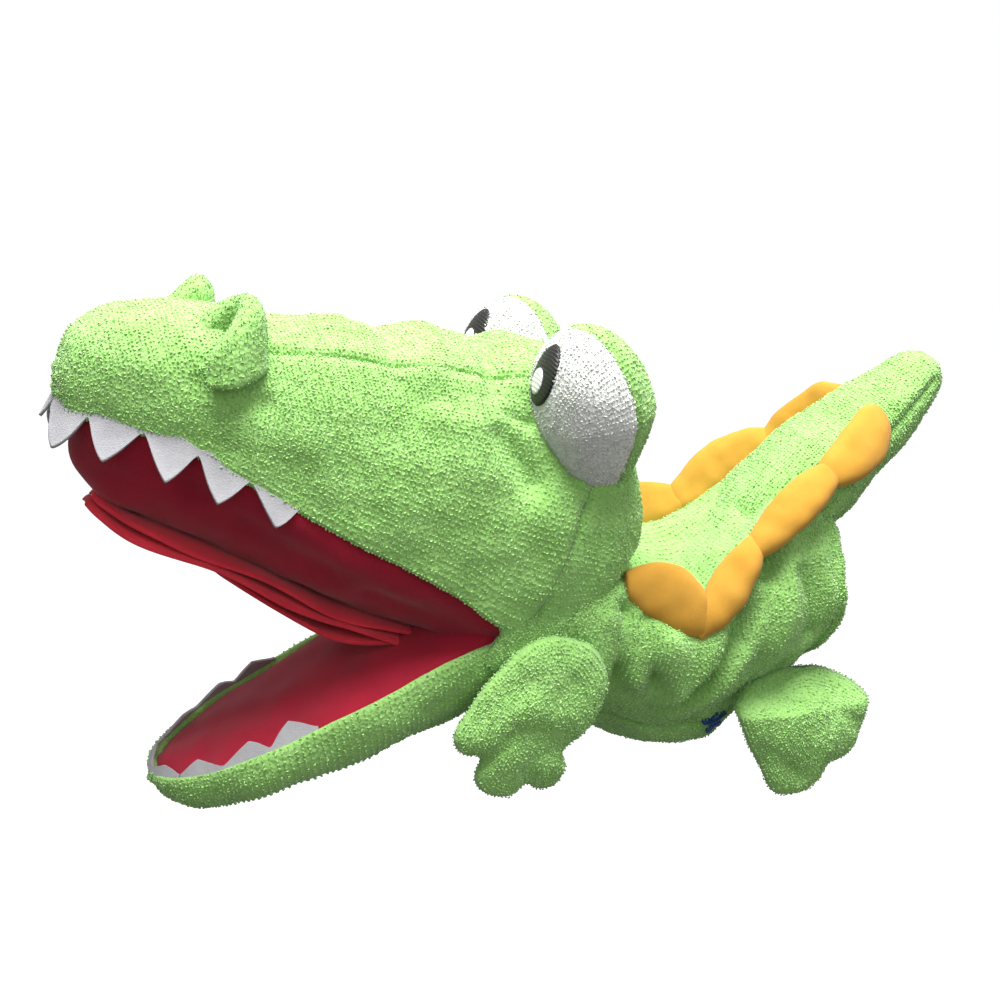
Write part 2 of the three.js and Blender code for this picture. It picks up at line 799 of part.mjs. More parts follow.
add('snout_cover', snoutCover(), 'terry');
add('top_gusset', topGusset(), 'terry');
addPair('cheek', cheek(), 'terry');
add('head_back', headBack(), 'terry');
add('head_stuffing', headStuffing(), 'fibre');
add('upper_board', upperBoard(), 'board');
add('palate_lining', palateLining(), 'crimson');
addPair('upper_teeth', upperTeeth(), 'felt');
add('upper_tooth_front', frontTooth(headStations, headHalfWidth, 0.6, upperToothHeight - 1, -1), 'felt');
addPair('nostril_cup', nostrilCup(14, 3, nostrilHeight), 'terry');
addPair('nostril_inner', nostrilCup(14 - 3 - seam, 1.5, nostrilHeight - 4), 'terry');
addPair('eye_white', eyeHalf(true), 'whiteTerry');
addPair('eye_back', eyeHalf(false), 'terry');
addPair('eye_pupil', eyePatch(6, 12, 0.2, 1.0, -0.32, 0.40), 'black');
addPair('eye_glint', eyePatch(3.2, 5, 1.2, 1.9, -0.34, 0.38), 'whiteTerry');

add('jaw_cover', jawCover(), 'terry');
add('jaw_stuffing', jawStuffing(), 'fibre');
add('lower_board', lowerBoard(), 'board');
add('lower_lining', lowerLining(), 'crimson');
addPair('lower_teeth', lowerTeeth(), 'felt');
add('lower_tooth_front', frontTooth(jawStations, jawHalfWidth, 0.6, lowerToothHeight - 1, 1), 'felt');

add('tongue_top', tongueSheet(0, tongueLayer, 0, 8, 1), 'red');
add('tongue_under', tongueSheet(-tongueLayer - seam, tongueLayer, 0, 8, 0.97), 'red');
add('tongue_flap', tongueSheet(-2 * tongueLayer - seam - 1.2, 2.2, 2, 5, 1.05), 'crimson');

add('throat_panel', throatPanel(), 'terry');
add('back_panel', backPanel(), 'terry');
addPair('side_panel', sidePanel(), 'terry');
add('belly_panel', bellyPanel(), 'terry');
add('cuff_hem', cuffHem(), 'terry');
add('belly_stitching', bellyStitching(), 'blue');
add('rump', rump(), 'terry');
add('tail_top', tailHalf(true), 'terry');
add('tail_under', tailHalf(false), 'terry');

const rumpOutside = (() => {
  const shape = [[-58, 0.75, 0.95], [-40, 1.04, 1.18], [-22, 1.10, 1.18], [-2, 1.09, 1.11]];
  return loft(shape.map(([reach, t, w]) => tailRing(reach, tailHalfThick * t, tailHalfWidth * w)));
})();
Object.entries(crestRolls).forEach(([name, points]) => {
  add(name, roll(points, 10, 9, sleeveOutside, rumpOutside), 'velour');
});
Object.entries(tailRolls).forEach(([name, points]) => {
  add(name, roll(points, 9, 8, tailOutside), 'velour');
});

addPair('front_leg', leg(frontLeg, Math.max(sleeveHalfWidth, jawHalfWidth + 1) + 1.5), 'terry');
addPair('hind_leg', leg(hindLeg, sleeveHalfWidth + 0.6), 'terry');

export default puppet;
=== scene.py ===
import math

import bmesh
import bpy
import numpy as np
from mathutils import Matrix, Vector, kdtree


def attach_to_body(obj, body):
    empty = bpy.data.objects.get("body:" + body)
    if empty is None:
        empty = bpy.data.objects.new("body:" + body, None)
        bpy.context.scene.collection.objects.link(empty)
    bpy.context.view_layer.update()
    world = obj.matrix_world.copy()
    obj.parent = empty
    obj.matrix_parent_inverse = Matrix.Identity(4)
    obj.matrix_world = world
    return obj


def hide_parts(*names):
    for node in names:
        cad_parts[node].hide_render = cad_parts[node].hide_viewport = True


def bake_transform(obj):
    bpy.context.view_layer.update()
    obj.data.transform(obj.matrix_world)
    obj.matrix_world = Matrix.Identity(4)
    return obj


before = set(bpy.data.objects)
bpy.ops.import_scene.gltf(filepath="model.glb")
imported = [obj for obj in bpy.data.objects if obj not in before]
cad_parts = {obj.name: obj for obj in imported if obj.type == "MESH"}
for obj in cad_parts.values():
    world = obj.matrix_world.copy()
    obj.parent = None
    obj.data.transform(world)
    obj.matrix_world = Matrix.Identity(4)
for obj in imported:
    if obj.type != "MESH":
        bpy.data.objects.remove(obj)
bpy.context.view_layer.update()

print("frame loaded")


# Small tools for shapes. Shapes are worked out in millimetres and made in metres.

def spline(points, t):
    p = np.asarray(points, float)
    n = len(p)
    t = np.clip(np.asarray(t, float), 0, n - 1)
    i = np.minimum(t.astype(int), n - 2)
    f = (t - i).reshape(t.shape + (1,) * (p.ndim - 1))
    before = np.where((i > 0).reshape(f.shape), p[np.maximum(i - 1, 0)], 2 * p[i] - p[i + 1])
    last = (i + 2 < n).reshape(f.shape)
    after = np.where(last, p[np.minimum(i + 2, n - 1)], 2 * p[i + 1] - p[i])
    b, c = p[i], p[i + 1]
    return 0.5 * (2 * b + (c - before) * f + (2 * before - 5 * b + 4 * c - after) * f**2
                  + (3 * b - before - 3 * c + after) * f**3)


def closedSpline(points, t):
    p = np.asarray(points, float)
    n = len(p)
    i = np.floor(t).astype(int)
    f = (t - i).reshape(t.shape + (1,) * (p.ndim - 1))
    a, b, c, d = p[(i - 1) % n], p[i % n], p[(i + 1) % n], p[(i + 2) % n]
    return 0.5 * (2 * b + (c - a) * f + (2 * a - 5 * b + 4 * c - d) * f**2
                  + (3 * b - a - 3 * c + d) * f**3)


def evenPath(points, count, closed=False):
    n = len(points)
    t = np.linspace(0, n if closed else n - 1, 600)
    fine = closedSpline(points, t) if closed else spline(points, t)
    far = np.concatenate([[0], np.cumsum(np.linalg.norm(np.diff(fine, axis=0), axis=1))])
    want = np.linspace(0, far[-1], count, endpoint=not closed)
    return np.stack([np.interp(want, far, fine[:, k]) for k in range(fine.shape[1])], -1)


def gridNormals(grid):
    along = np.gradient(grid, axis=0)
    across = np.gradient(grid, axis=1)
    n = np.cross(along, across)
    return n / np.maximum(np.linalg.norm(n, axis=-1, keepdims=True), 1e-9)


def nearest(grid, path):
    flat = grid.reshape(-1, 3)
    best = np.full(len(flat), 1e9)
    for a, b in zip(path[:-1], path[1:]):
        ab = b - a
        t = np.clip(((flat - a) @ ab) / max(ab @ ab, 1e-9), 0, 1)
        best = np.minimum(best, np.linalg.norm(flat - a - t[:, None] * ab, axis=1))
    return best.reshape(grid.shape[:-1])


def press(grid, out, strokes):
    # Each stroke is a path, a half width and a height; a negative height presses a crease in.
    moved = grid.copy()
    for path, width, height in strokes:
        path = evenPath(path, 24)
        d = nearest(grid, path)
        moved += out * (height * np.exp(-(d / width) ** 2))[..., None]
    return moved


def softNoise(grid, size, seed):
    # Smooth noise from a few random waves.
    g = np.random.default_rng(seed)
    total = np.zeros(grid.shape[:-1])
    for _ in range(7):
        wave = g.normal(size=3)
        wave *= g.uniform(0.6, 1.5) * 2 * math.pi / size / np.linalg.norm(wave)
        total += np.sin(grid @ wave + g.uniform(0, 6.28))
    return total / 3


def makeMesh(name, points, faces, uv=None, material=None, smooth=True):
    mesh = bpy.data.meshes.new(name)
    mesh.from_pydata((np.asarray(points) / 1000).tolist(), [], [list(map(int, f)) for f in faces])
    if uv is not None:
        layer = mesh.uv_layers.new(name="cloth")
        loops = np.zeros(len(mesh.loops), int)
        mesh.loops.foreach_get("vertex_index", loops)
        layer.data.foreach_set("uv", (np.asarray(uv)[loops] / 1000).ravel())
    if material:
        mesh.materials.append(material)
    mesh.polygons.foreach_set("use_smooth", [smooth] * len(mesh.polygons))
    mesh.update()
    piece = bpy.data.objects.new(name, mesh)
    bpy.context.scene.collection.objects.link(piece)
    return piece


def gridFaces(rows, cols, mask=None, closed=False):
    i, j = np.meshgrid(np.arange(rows - 1), np.arange(cols if closed else cols - 1), indexing="ij")
    k = (j + 1) % cols
    faces = np.stack([i * cols + j, (i + 1) * cols + j, (i + 1) * cols + k, i * cols + k], -1)
    return faces[mask] if mask is not None else faces.reshape(-1, 4)


def gridUv(grid):
    down = np.linalg.norm(np.diff(grid, axis=0, prepend=grid[:1]), axis=-1).mean(1).cumsum()
    across = np.linalg.norm(np.diff(grid, axis=1, prepend=grid[:, :1]), axis=-1).cumsum(1)
    across -= across[:, -1:] / 2
    return np.stack([across, np.repeat(down[:, None], grid.shape[1], 1)], -1)


def gridPiece(name, grid, material, mask=None, closed=False, capStart=False, capEnd=False,
              flip=False):
    rows, cols = grid.shape[:2]
    points = grid.reshape(-1, 3)
    uv = gridUv(grid).reshape(-1, 2)
    faces = [list(f) for f in gridFaces(rows, cols, mask, closed)]
    if capStart:
        points = np.vstack([points, grid[0].mean(0)])
        uv = np.vstack([uv, uv[0]])
        hub = len(points) - 1
        faces += [[hub, j, (j + 1) % cols] for j in range(cols)]
    if capEnd:
        points = np.vstack([points, grid[-1].mean(0)])
        uv = np.vstack([uv, uv[-1]])
        hub = len(points) - 1
        base = (rows - 1) * cols
        faces += [[hub, base + (j + 1) % cols, base + j] for j in range(cols)]
    if flip:
        faces = [f[::-1] for f in faces]
    used = np.unique(np.concatenate([np.asarray(f) for f in faces]))
    index = np.full(len(points), -1)
    index[used] = np.arange(len(used))
    return makeMesh(name, points[used], [index[f] for f in faces], uv[used], material)


def applyModifiers(piece):
    bpy.context.view_layer.update()
    graph = bpy.context.evaluated_depsgraph_get()
    mesh = bpy.data.meshes.new_from_object(piece.evaluated_get(graph), depsgraph=graph)
    piece.modifiers.clear()
    piece.data = mesh
    return piece


def thicken(piece, thickness, inward=True):
    wall = piece.modifiers.new("thickness", "SOLIDIFY")
    wall.thickness = thickness / 1000
    wall.offset = -1 if inward else 0
    wall.use_even_offset = False
    return applyModifiers(piece)


def attach(piece, how):
    if isinstance(how, str):
        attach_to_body(piece, how)
    else:
        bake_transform(piece)
    return piece


# Small tools for materials.

def linear(hexColour):
    parts = [int(hexColour[k:k + 2], 16) / 255 for k in (1, 3, 5)]
    return [c / 12.92 if c <= 0.04045 else ((c + 0.055) / 1.055) ** 2.4 for c in parts] + [1.0]


def addNode(tree, kind, settings=None, links=None):
    node = tree.nodes.new(kind)
    for key, value in (settings or {}).items():
        if isinstance(key, str) and hasattr(node, key):
            setattr(node, key, value)
        else:
            node.inputs[key].default_value = value
    for key, source in (links or {}).items():
        tree.links.new(source, node.inputs[key])
    return node


def newMaterial(name, surface):
    material = bpy.data.materials.new(name)
    material.use_nodes = True
    tree = material.node_tree
    tree.nodes.clear()
    out = addNode(tree, "ShaderNodeOutputMaterial")
    shader = addNode(tree, "ShaderNodeBsdfPrincipled", surface)
    tree.links.new(shader.outputs["BSDF"], out.inputs["Surface"])
    return material, tree, shader


def mottled(tree, shader, light, dark, size, coordinates="Object", stretch=(1, 1, 1), detail=3):
    # Colour drifts between two shades over patches of the given size in millimetres.
    place = addNode(tree, "ShaderNodeTexCoord")
    turn = addNode(tree, "ShaderNodeMapping", {"Scale": stretch},
                   {"Vector": place.outputs[coordinates]})
    patches = addNode(tree, "ShaderNodeTexNoise", {"Scale": 1000 / size, "Detail": detail},
                      {"Vector": turn.outputs["Vector"]})
    ramp = addNode(tree, "ShaderNodeValToRGB", None, {"Fac": patches.outputs["Fac"]})
    ramp.color_ramp.elements[0].position = 0.3
    ramp.color_ramp.elements[1].position = 0.7
    ramp.color_ramp.elements[0].color = linear(dark)
    ramp.color_ramp.elements[1].color = linear(light)
    tree.links.new(ramp.outputs["Color"], shader.inputs["Base Color"])
    return turn


def bumpFrom(tree, shader, height, distance, strength=1.0, below=None):
    links = {"Height": height}
    if below is not None:
        links["Normal"] = below.outputs["Normal"]
    bump = addNode(tree, "ShaderNodeBump", {"Strength": strength, "Distance": distance / 1000},
                   links)
    tree.links.new(bump.outputs["Normal"], shader.inputs["Normal"])
    return bump


def terryGround(name, light, dark, loopPitch=1.9):
    # Cotton terry towelling, looped pile on a knit ground: dull, with a faint sheen at grazing angles.
    material, tree, shader = newMaterial(name, {"Roughness": 0.95, "Sheen Weight": 0.25,
                                                "Sheen Roughness": 0.6, "Specular IOR Level": 0.15})
    turn = mottled(tree, shader, light, dark, 22)
    cells = addNode(tree, "ShaderNodeTexVoronoi", {"Scale": 1000 / loopPitch},
                    {"Vector": turn.outputs["Vector"]})
    bumpFrom(tree, shader, cells.outputs["Distance"], 0.7, 0.8)
    return material


def terryYarn(name, colour):
    # One shade of the soft cotton yarn that the loops are made of.
    material, _, _ = newMaterial(name, {"Base Color": linear(colour), "Roughness": 0.9,
                                        "Sheen Weight": 0.25, "Sheen Roughness": 0.5,
                                        "Specular IOR Level": 0.15})
    return material


def brushedCloth(name, light, dark, nap=0.7, patch=30, sheen=0.35, height=0.25):
    # Short brushed nap, as on velour, felt and plush tricot: soft, dull, fine fibres lying one way.
    material, tree, shader = newMaterial(name, {"Roughness": 0.9, "Sheen Weight": sheen,
                                                "Sheen Roughness": 0.45, "Specular IOR Level": 0.2})
    turn = mottled(tree, shader, light, dark, patch, stretch=(1, 1, 1.4))
    fibres = addNode(tree, "ShaderNodeTexNoise", {"Scale": 1000 / nap, "Detail": 4, "Roughness": 0.7},
                     {"Vector": turn.outputs["Vector"]})
    bumpFrom(tree, shader, fibres.outputs["Fac"], height, 0.8)
    return material


def satinThread(name, light, dark, pitch=0.7, angle=0.6):
    # Rayon satin stitch: parallel threads with a soft gloss along them, partly from the low roughness and
    # partly painted: each thread's crest is coloured lighter as painted highlight and the grooves between are
    # coloured darker as painted shade.
    material, tree, shader = newMaterial(name, {"Roughness": 0.45, "Specular IOR Level": 0.4,
                                                "Sheen Weight": 0.1})
    place = addNode(tree, "ShaderNodeTexCoord")
    turn = addNode(tree, "ShaderNodeMapping", {"Rotation": (0, angle, 0)},
                   {"Vector": place.outputs["Object"]})
    threads = addNode(tree, "ShaderNodeTexWave", {"Scale": 1000 / pitch / 6.28, "Distortion": 1.5,
                                                  "Detail": 2}, {"Vector": turn.outputs["Vector"]})
    # Painted highlight on each thread's crest and painted shade in the grooves, following the same waves as
    # the bump.
    ramp = addNode(tree, "ShaderNodeValToRGB", None, {"Fac": threads.outputs["Fac"]})
    ramp.color_ramp.elements[0].color = linear(dark)
    ramp.color_ramp.elements[1].color = linear(light)
    tree.links.new(ramp.outputs["Color"], shader.inputs["Base Color"])
    bumpFrom(tree, shader, threads.outputs["Fac"], 0.25, 0.7)
    return material


greenTerry = terryGround("green_terry_ground", "#97c871", "#88bb60")
whiteTerry = terryGround("white_terry_ground", "#dadcd6", "#d0d2cc")
greenYarns = [terryYarn("green_terry_yarn_mid", "#a0cf7b"), terryYarn("green_terry_yarn_light", "#aedb8c"),
              terryYarn("green_terry_yarn_deep", "#92c56c")]
whiteYarns = [terryYarn("white_terry_yarn_mid", "#d2d4cf"), terryYarn("white_terry_yarn_light", "#dcded9"),
              terryYarn("white_terry_yarn_deep", "#c8cac5")]
crestVelour = brushedCloth("orange_velour", "#c8953a", "#b8862e", nap=0.6, patch=18, sheen=0.15)
liningCloth = brushedCloth("crimson_brushed_lining", "#a81c34", "#96182c", nap=0.8, patch=26, sheen=0.2)
tongueCloth = brushedCloth("red_brushed_tongue", "#dc3646", "#c82c3c", nap=0.8, patch=20, sheen=0.2)
# The teeth are white felt, coloured mid grey here: painted shade for the shadow the teeth sit in under the
# mouth edge.
feltGreyedByPaintedShade = brushedCloth("white_felt", "#a9a8ab", "#9d9ca0", nap=0.9, patch=9, sheen=0.2, height=0.35)
blackThread = satinThread("black_satin_stitch", "#22201f", "#0b0a0a")
whiteThread = satinThread("white_satin_stitch", "#f4f4f2", "#dededa")
blueThread = satinThread("blue_satin_stitch", "#1f5c9c", "#12396b")
stuffingFibre = brushedCloth("polyester_stuffing", "#efefec", "#dcdcd8", nap=1.2, patch=8)
boardCard = brushedCloth("stiff_pressed_board", "#8e8577", "#7c7467", nap=0.5, patch=6, sheen=0, height=0.08)
print("materials made")


# The pile: little yarn loops that stand on every terry piece, row by row as they are knitted.

pile = {"loopWidth": 0.45, "loopHeight": 0.42, "yarnRadius": 0.38, "lean": 0.6, "spacing": 1.05}


def loopTree():
    tree = bpy.data.node_groups.new("terryLoops", "GeometryNodeTree")
    face = tree.interface
    face.new_socket("Cloth", in_out="INPUT", socket_type="NodeSocketGeometry")
    for name in ("Loop Width", "Loop Height", "Yarn Radius", "Lean"):
        face.new_socket(name, in_out="INPUT", socket_type="NodeSocketFloat")
    face.new_socket("Seed", in_out="INPUT", socket_type="NodeSocketInt")
    for name in ("Mid Yarn", "Light Yarn", "Deep Yarn"):
        face.new_socket(name, in_out="INPUT", socket_type="NodeSocketMaterial")
    face.new_socket("Loops", in_out="OUTPUT", socket_type="NodeSocketGeometry")
    given = addNode(tree, "NodeGroupInput").outputs
    arc = addNode(tree, "GeometryNodeCurveArc", {"Resolution": 3, "Sweep Angle": math.pi},
                  {"Radius": given["Loop Width"]})
    ring = addNode(tree, "GeometryNodeCurvePrimitiveCircle", {"Resolution": 3},
                   {"Radius": given["Yarn Radius"]})
    yarn = addNode(tree, "GeometryNodeCurveToMesh", None,
                   {"Curve": arc.outputs["Curve"], "Profile Curve": ring.outputs["Curve"]})
    tall = addNode(tree, "ShaderNodeMath", {"operation": "DIVIDE"},
                   {0: given["Loop Height"], 1: given["Loop Width"]})
    size = addNode(tree, "ShaderNodeCombineXYZ", {"X": 1.0, "Z": 1.0}, {"Y": tall.outputs[0]})
    stand = addNode(tree, "GeometryNodeTransform", {"Rotation": (math.pi / 2, 0, 0)},
                    {"Geometry": yarn.outputs["Mesh"], "Scale": size.outputs[0]})
    normal = addNode(tree, "GeometryNodeInputNormal")
    outward = addNode(tree, "FunctionNodeAlignRotationToVector", {"axis": "Z"},
                      {"Vector": normal.outputs[0]})
    less = addNode(tree, "ShaderNodeMath", {"operation": "MULTIPLY", 1: -1.0}, {0: given["Lean"]})
    low = addNode(tree, "ShaderNodeCombineXYZ", {"Z": -3.1416},
                  {"X": less.outputs[0], "Y": less.outputs[0]})
    high = addNode(tree, "ShaderNodeCombineXYZ", {"Z": 3.1416},
                   {"X": given["Lean"], "Y": given["Lean"]})
    turn = addNode(tree, "FunctionNodeRandomValue", {"data_type": "FLOAT_VECTOR"},
                   {"Min": low.outputs[0], "Max": high.outputs[0], "Seed": given["Seed"]})
    twist = addNode(tree, "FunctionNodeRotateRotation", {"rotation_space": "LOCAL"},
                    {"Rotation": outward.outputs[0], "Rotate By": turn.outputs[0]})
    scale = addNode(tree, "FunctionNodeRandomValue", {"data_type": "FLOAT"}, {"Seed": given["Seed"]})
    scale.inputs[2].default_value, scale.inputs[3].default_value = 0.75, 1.25
    rooted = addNode(tree, "GeometryNodeInputNamedAttribute", {"data_type": "BOOLEAN", "Name": "rooted"})
    placed = addNode(tree, "GeometryNodeInstanceOnPoints", None,
                     {"Points": given["Cloth"], "Instance": stand.outputs[0],
                      "Selection": rooted.outputs[0], "Rotation": twist.outputs[0],
                      "Scale": scale.outputs[1]})
    shade = addNode(tree, "FunctionNodeRandomValue", {"data_type": "FLOAT"}, {"Seed": given["Seed"]})
    marked = addNode(tree, "GeometryNodeStoreNamedAttribute",
                     {"data_type": "FLOAT", "domain": "INSTANCE", "Name": "shade"},
                     {"Geometry": placed.outputs[0], "Value": shade.outputs[1]})
    real = addNode(tree, "GeometryNodeRealizeInstances", None, {0: marked.outputs[0]})
    smooth = addNode(tree, "GeometryNodeSetShadeSmooth", None, {0: real.outputs[0]})
    mid = addNode(tree, "GeometryNodeSetMaterial", None,
                  {"Geometry": smooth.outputs[0], "Material": given["Mid Yarn"]})
    last = mid
    for name, operation, edge in (("Light Yarn", "GREATER_THAN", 0.62), ("Deep Yarn", "LESS_THAN", 0.25)):
        read = addNode(tree, "GeometryNodeInputNamedAttribute", {"data_type": "FLOAT", "Name": "shade"})
        chosen = addNode(tree, "FunctionNodeCompare", {"data_type": "FLOAT", "operation": operation},
                         {0: read.outputs[0]})
        chosen.inputs[1].default_value = edge
        last = addNode(tree, "GeometryNodeSetMaterial", None,
                       {"Geometry": last.outputs[0], "Selection": chosen.outputs[0],
                        "Material": given[name]})
    addNode(tree, "NodeGroupOutput", None, {0: last.outputs[0]})
    return tree


loops = loopTree()


def runTree(piece, tree, values):
    modifier = piece.modifiers.new("grow", "NODES")
    modifier.node_group = tree
    for item in tree.interface.items_tree:
        if item.in_out == "INPUT" and item.name in values:
            modifier[item.identifier] = values[item.name]
    return applyModifiers(piece)


def sparse(points, spacing):
    # Keeps roots at least the spacing apart, in the order they lie in the rows.
    tree = {}
    keep = np.zeros(len(points), bool)
    for k, p in enumerate(points):
        cell = tuple((p // spacing).astype(int))
        crowded = False
        for dx in (-1, 0, 1):
            for dy in (-1, 0, 1):
                for dz in (-1, 0, 1):
                    for q in tree.get((cell[0] + dx, cell[1] + dy, cell[2] + dz), ()):
                        if (p[0] - q[0])**2 + (p[1] - q[1])**2 + (p[2] - q[2])**2 < spacing**2:
                            crowded = True
        if not crowded:
            tree.setdefault(cell, []).append(p)
            keep[k] = True
    return keep


def growPile(cloth, yarns, how, seed, bare=None):
    # bare(points) marks roots that get no loops, such as the turned-in edge.
    mesh = cloth.data.copy()
    points = np.zeros(len(mesh.vertices) * 3)
    mesh.vertices.foreach_get("co", points)
    points = points.reshape(-1, 3) * 1000
    keep = sparse(points, pile["spacing"])
    if bare is not None:
        keep &= ~bare(points)
    jitter = np.random.default_rng(seed).uniform(-0.3, 0.3, points.shape)
    mesh.vertices.foreach_set("co", ((points + jitter) / 1000).ravel())
    mark = mesh.attributes.new("rooted", "BOOLEAN", "POINT")
    mark.data.foreach_set("value", keep)
    piece = bpy.data.objects.new(cloth.name + "_pile", mesh)
    bpy.context.scene.collection.objects.link(piece)
    runTree(piece, loops, {"Loop Width": pile["loopWidth"] / 1000, "Loop Height": pile["loopHeight"] / 1000,
                           "Yarn Radius": pile["yarnRadius"] / 1000, "Lean": pile["lean"], "Seed": seed,
                           "Mid Yarn": yarns[0], "Light Yarn": yarns[1], "Deep Yarn": yarns[2]})
    return attach(piece, how)


def terryPiece(name, grid, how, replaced=(), mask=None, closed=False, capStart=False, capEnd=False,
               flip=False, solid=1.4, seed=1, bare=None, white=False):
    cloth = gridPiece(name, grid, whiteTerry if white else greenTerry, mask, closed, capStart,
                      capEnd, flip)
    growPile(cloth, whiteYarns if white else greenYarns, how, seed, bare)
    if solid:
        thicken(cloth, solid)
    if replaced:
        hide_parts(*replaced)
    return attach(cloth, how)


# Head: one run of stations from the nose to the back of the head, each an arch over the mouth edge.

headStations = [
    [-349, 118, .10, -348, 130, 0], [-344, 114, .33, -342, 143, .02], [-331, 111, .54, -330, 151, .04],
    [-314, 105, .68, -313, 154, .04], [-291, 93, .82, -288, 152, .02], [-266, 77, .90, -262, 144, .00],
    [-240, 60, .95, -232, 142, .02], [-214, 44, .98, -203, 137, .04], [-193, 30, 1.0, -176, 133, .09],
    [-176, 16, 1.01, -150, 129, .13], [-158, 8, 1.0, -124, 120, .14], [-143, 9, .98, -108, 101, .10],
    [-133, 13, .95, -100, 81, .07], [-125, 20, .92, -97, 64, .05], [-118, 29, .89, -98, 50, .02]]
jawStations = [
    [-321, -53, .10, -320, -58, 0], [-317, -51, .33, -314, -63, 0], [-305, -47, .60, -302, -66, .02],
    [-286, -39, .82, -281, -63, .03], [-251, -25, .95, -245, -55, .03], [-215, -10, 1, -208, -45, .02],
    [-186, 1, 1, -180, -37, 0], [-168, 4, .98, -160, -36, 0]]
head = {"halfWidth": 52,
        "ridgeHalfWidth": [(0, 28), (4, 29), (5.5, 31), (7.5, 32), (9, 38), (10, 44), (14, 44)],
        "rows": 184, "columns": 137, "ridgeShare": 0.31, "jawHalfWidth": 48}


def archPoint(stations, halfWidth, u, a):
    s = spline(stations, u)
    angle = a * math.pi / 2
    side = np.abs(np.sin(angle)) ** 0.85 * np.sign(angle)
    rise = np.abs(np.cos(angle)) ** 0.8
    swell = 1 + s[..., 5] * np.sin(2 * np.abs(angle))
    x = s[..., 0] + (s[..., 3] - s[..., 0]) * rise
    z = s[..., 1] + (s[..., 4] - s[..., 1]) * rise
    return np.stack([x, halfWidth * s[..., 2] * side * swell, z], -1)


def cheekLine(z):
    return np.where(z > 73, -133 - (z - 73) * 0.12, -133 - (73 - z) * 35 / 73)


def headGrid():
    b = np.linspace(-1, 1, head["columns"])
    fineU = np.linspace(0, 14, 561)
    fineA = np.linspace(0, 1, 201)
    grid = np.zeros((head["rows"], head["columns"], 3))
    cut = int(head["rows"] * 0.74)
    ridge = np.interp(fineU, *zip(*head["ridgeHalfWidth"]))
    y = archPoint(headStations, head["halfWidth"], fineU[:, None], fineA[None, :])[..., 1]
    ridgeA = np.array([np.interp(min(w, row.max() * 0.62), row, fineA) for w, row in zip(ridge, y)])
    for j, share in enumerate(b):
        size = abs(share) / head["ridgeShare"]
        inner = ridgeA * min(size, 1)
        outer = ridgeA + (1 - ridgeA) * (abs(share) - head["ridgeShare"]) / (1 - head["ridgeShare"])
        a = np.where(size <= 1, inner, outer) * (1 if share >= 0 else -1)
        track = archPoint(headStations, head["halfWidth"], fineU, a)
        beyond = track[:, 0] - cheekLine(track[:, 2])
        late = np.nonzero((beyond > 0) & (fineU > 6))[0]
        seamU = fineU[late[0]] if len(late) else 9.6
        far = np.concatenate([[0], np.cumsum(np.linalg.norm(np.diff(track, axis=0), axis=1))])
        seamFar = np.interp(seamU, fineU, far)
        want = np.concatenate([np.linspace(0, seamFar, cut, endpoint=False),
                               np.linspace(seamFar, far[-1], head["rows"] - cut)])
        for k in range(3):
            grid[:, j, k] = np.interp(want, far, track[:, k])
    return grid, cut


skin, cheekRow = headGrid()
ridgeColumn = int(round((1 - head["ridgeShare"]) / 2 * (head["columns"] - 1)))
farRidgeColumn = head["columns"] - 1 - ridgeColumn
middle = head["columns"] // 2
frontRow = int(np.argmin(np.abs(skin[:cheekRow, middle, 0] + 269)))
out = gridNormals(skin)
if out[40, middle, 2] < 0:
    out = -out
seamNear = skin[frontRow:cheekRow + 8, ridgeColumn]
seamFar = skin[frontRow:cheekRow + 8, farRidgeColumn]
seamFront = skin[frontRow, ridgeColumn:farRidgeColumn + 1]
seamCheekNear = skin[cheekRow, :ridgeColumn + 1]
seamCheekFar = skin[cheekRow, farRidgeColumn:]


def mirrored(path):
    return [(x, -y, z) for x, y, z in path]


def both(strokes):
    return strokes + [(mirrored(path), width, height) for path, width, height in strokes]


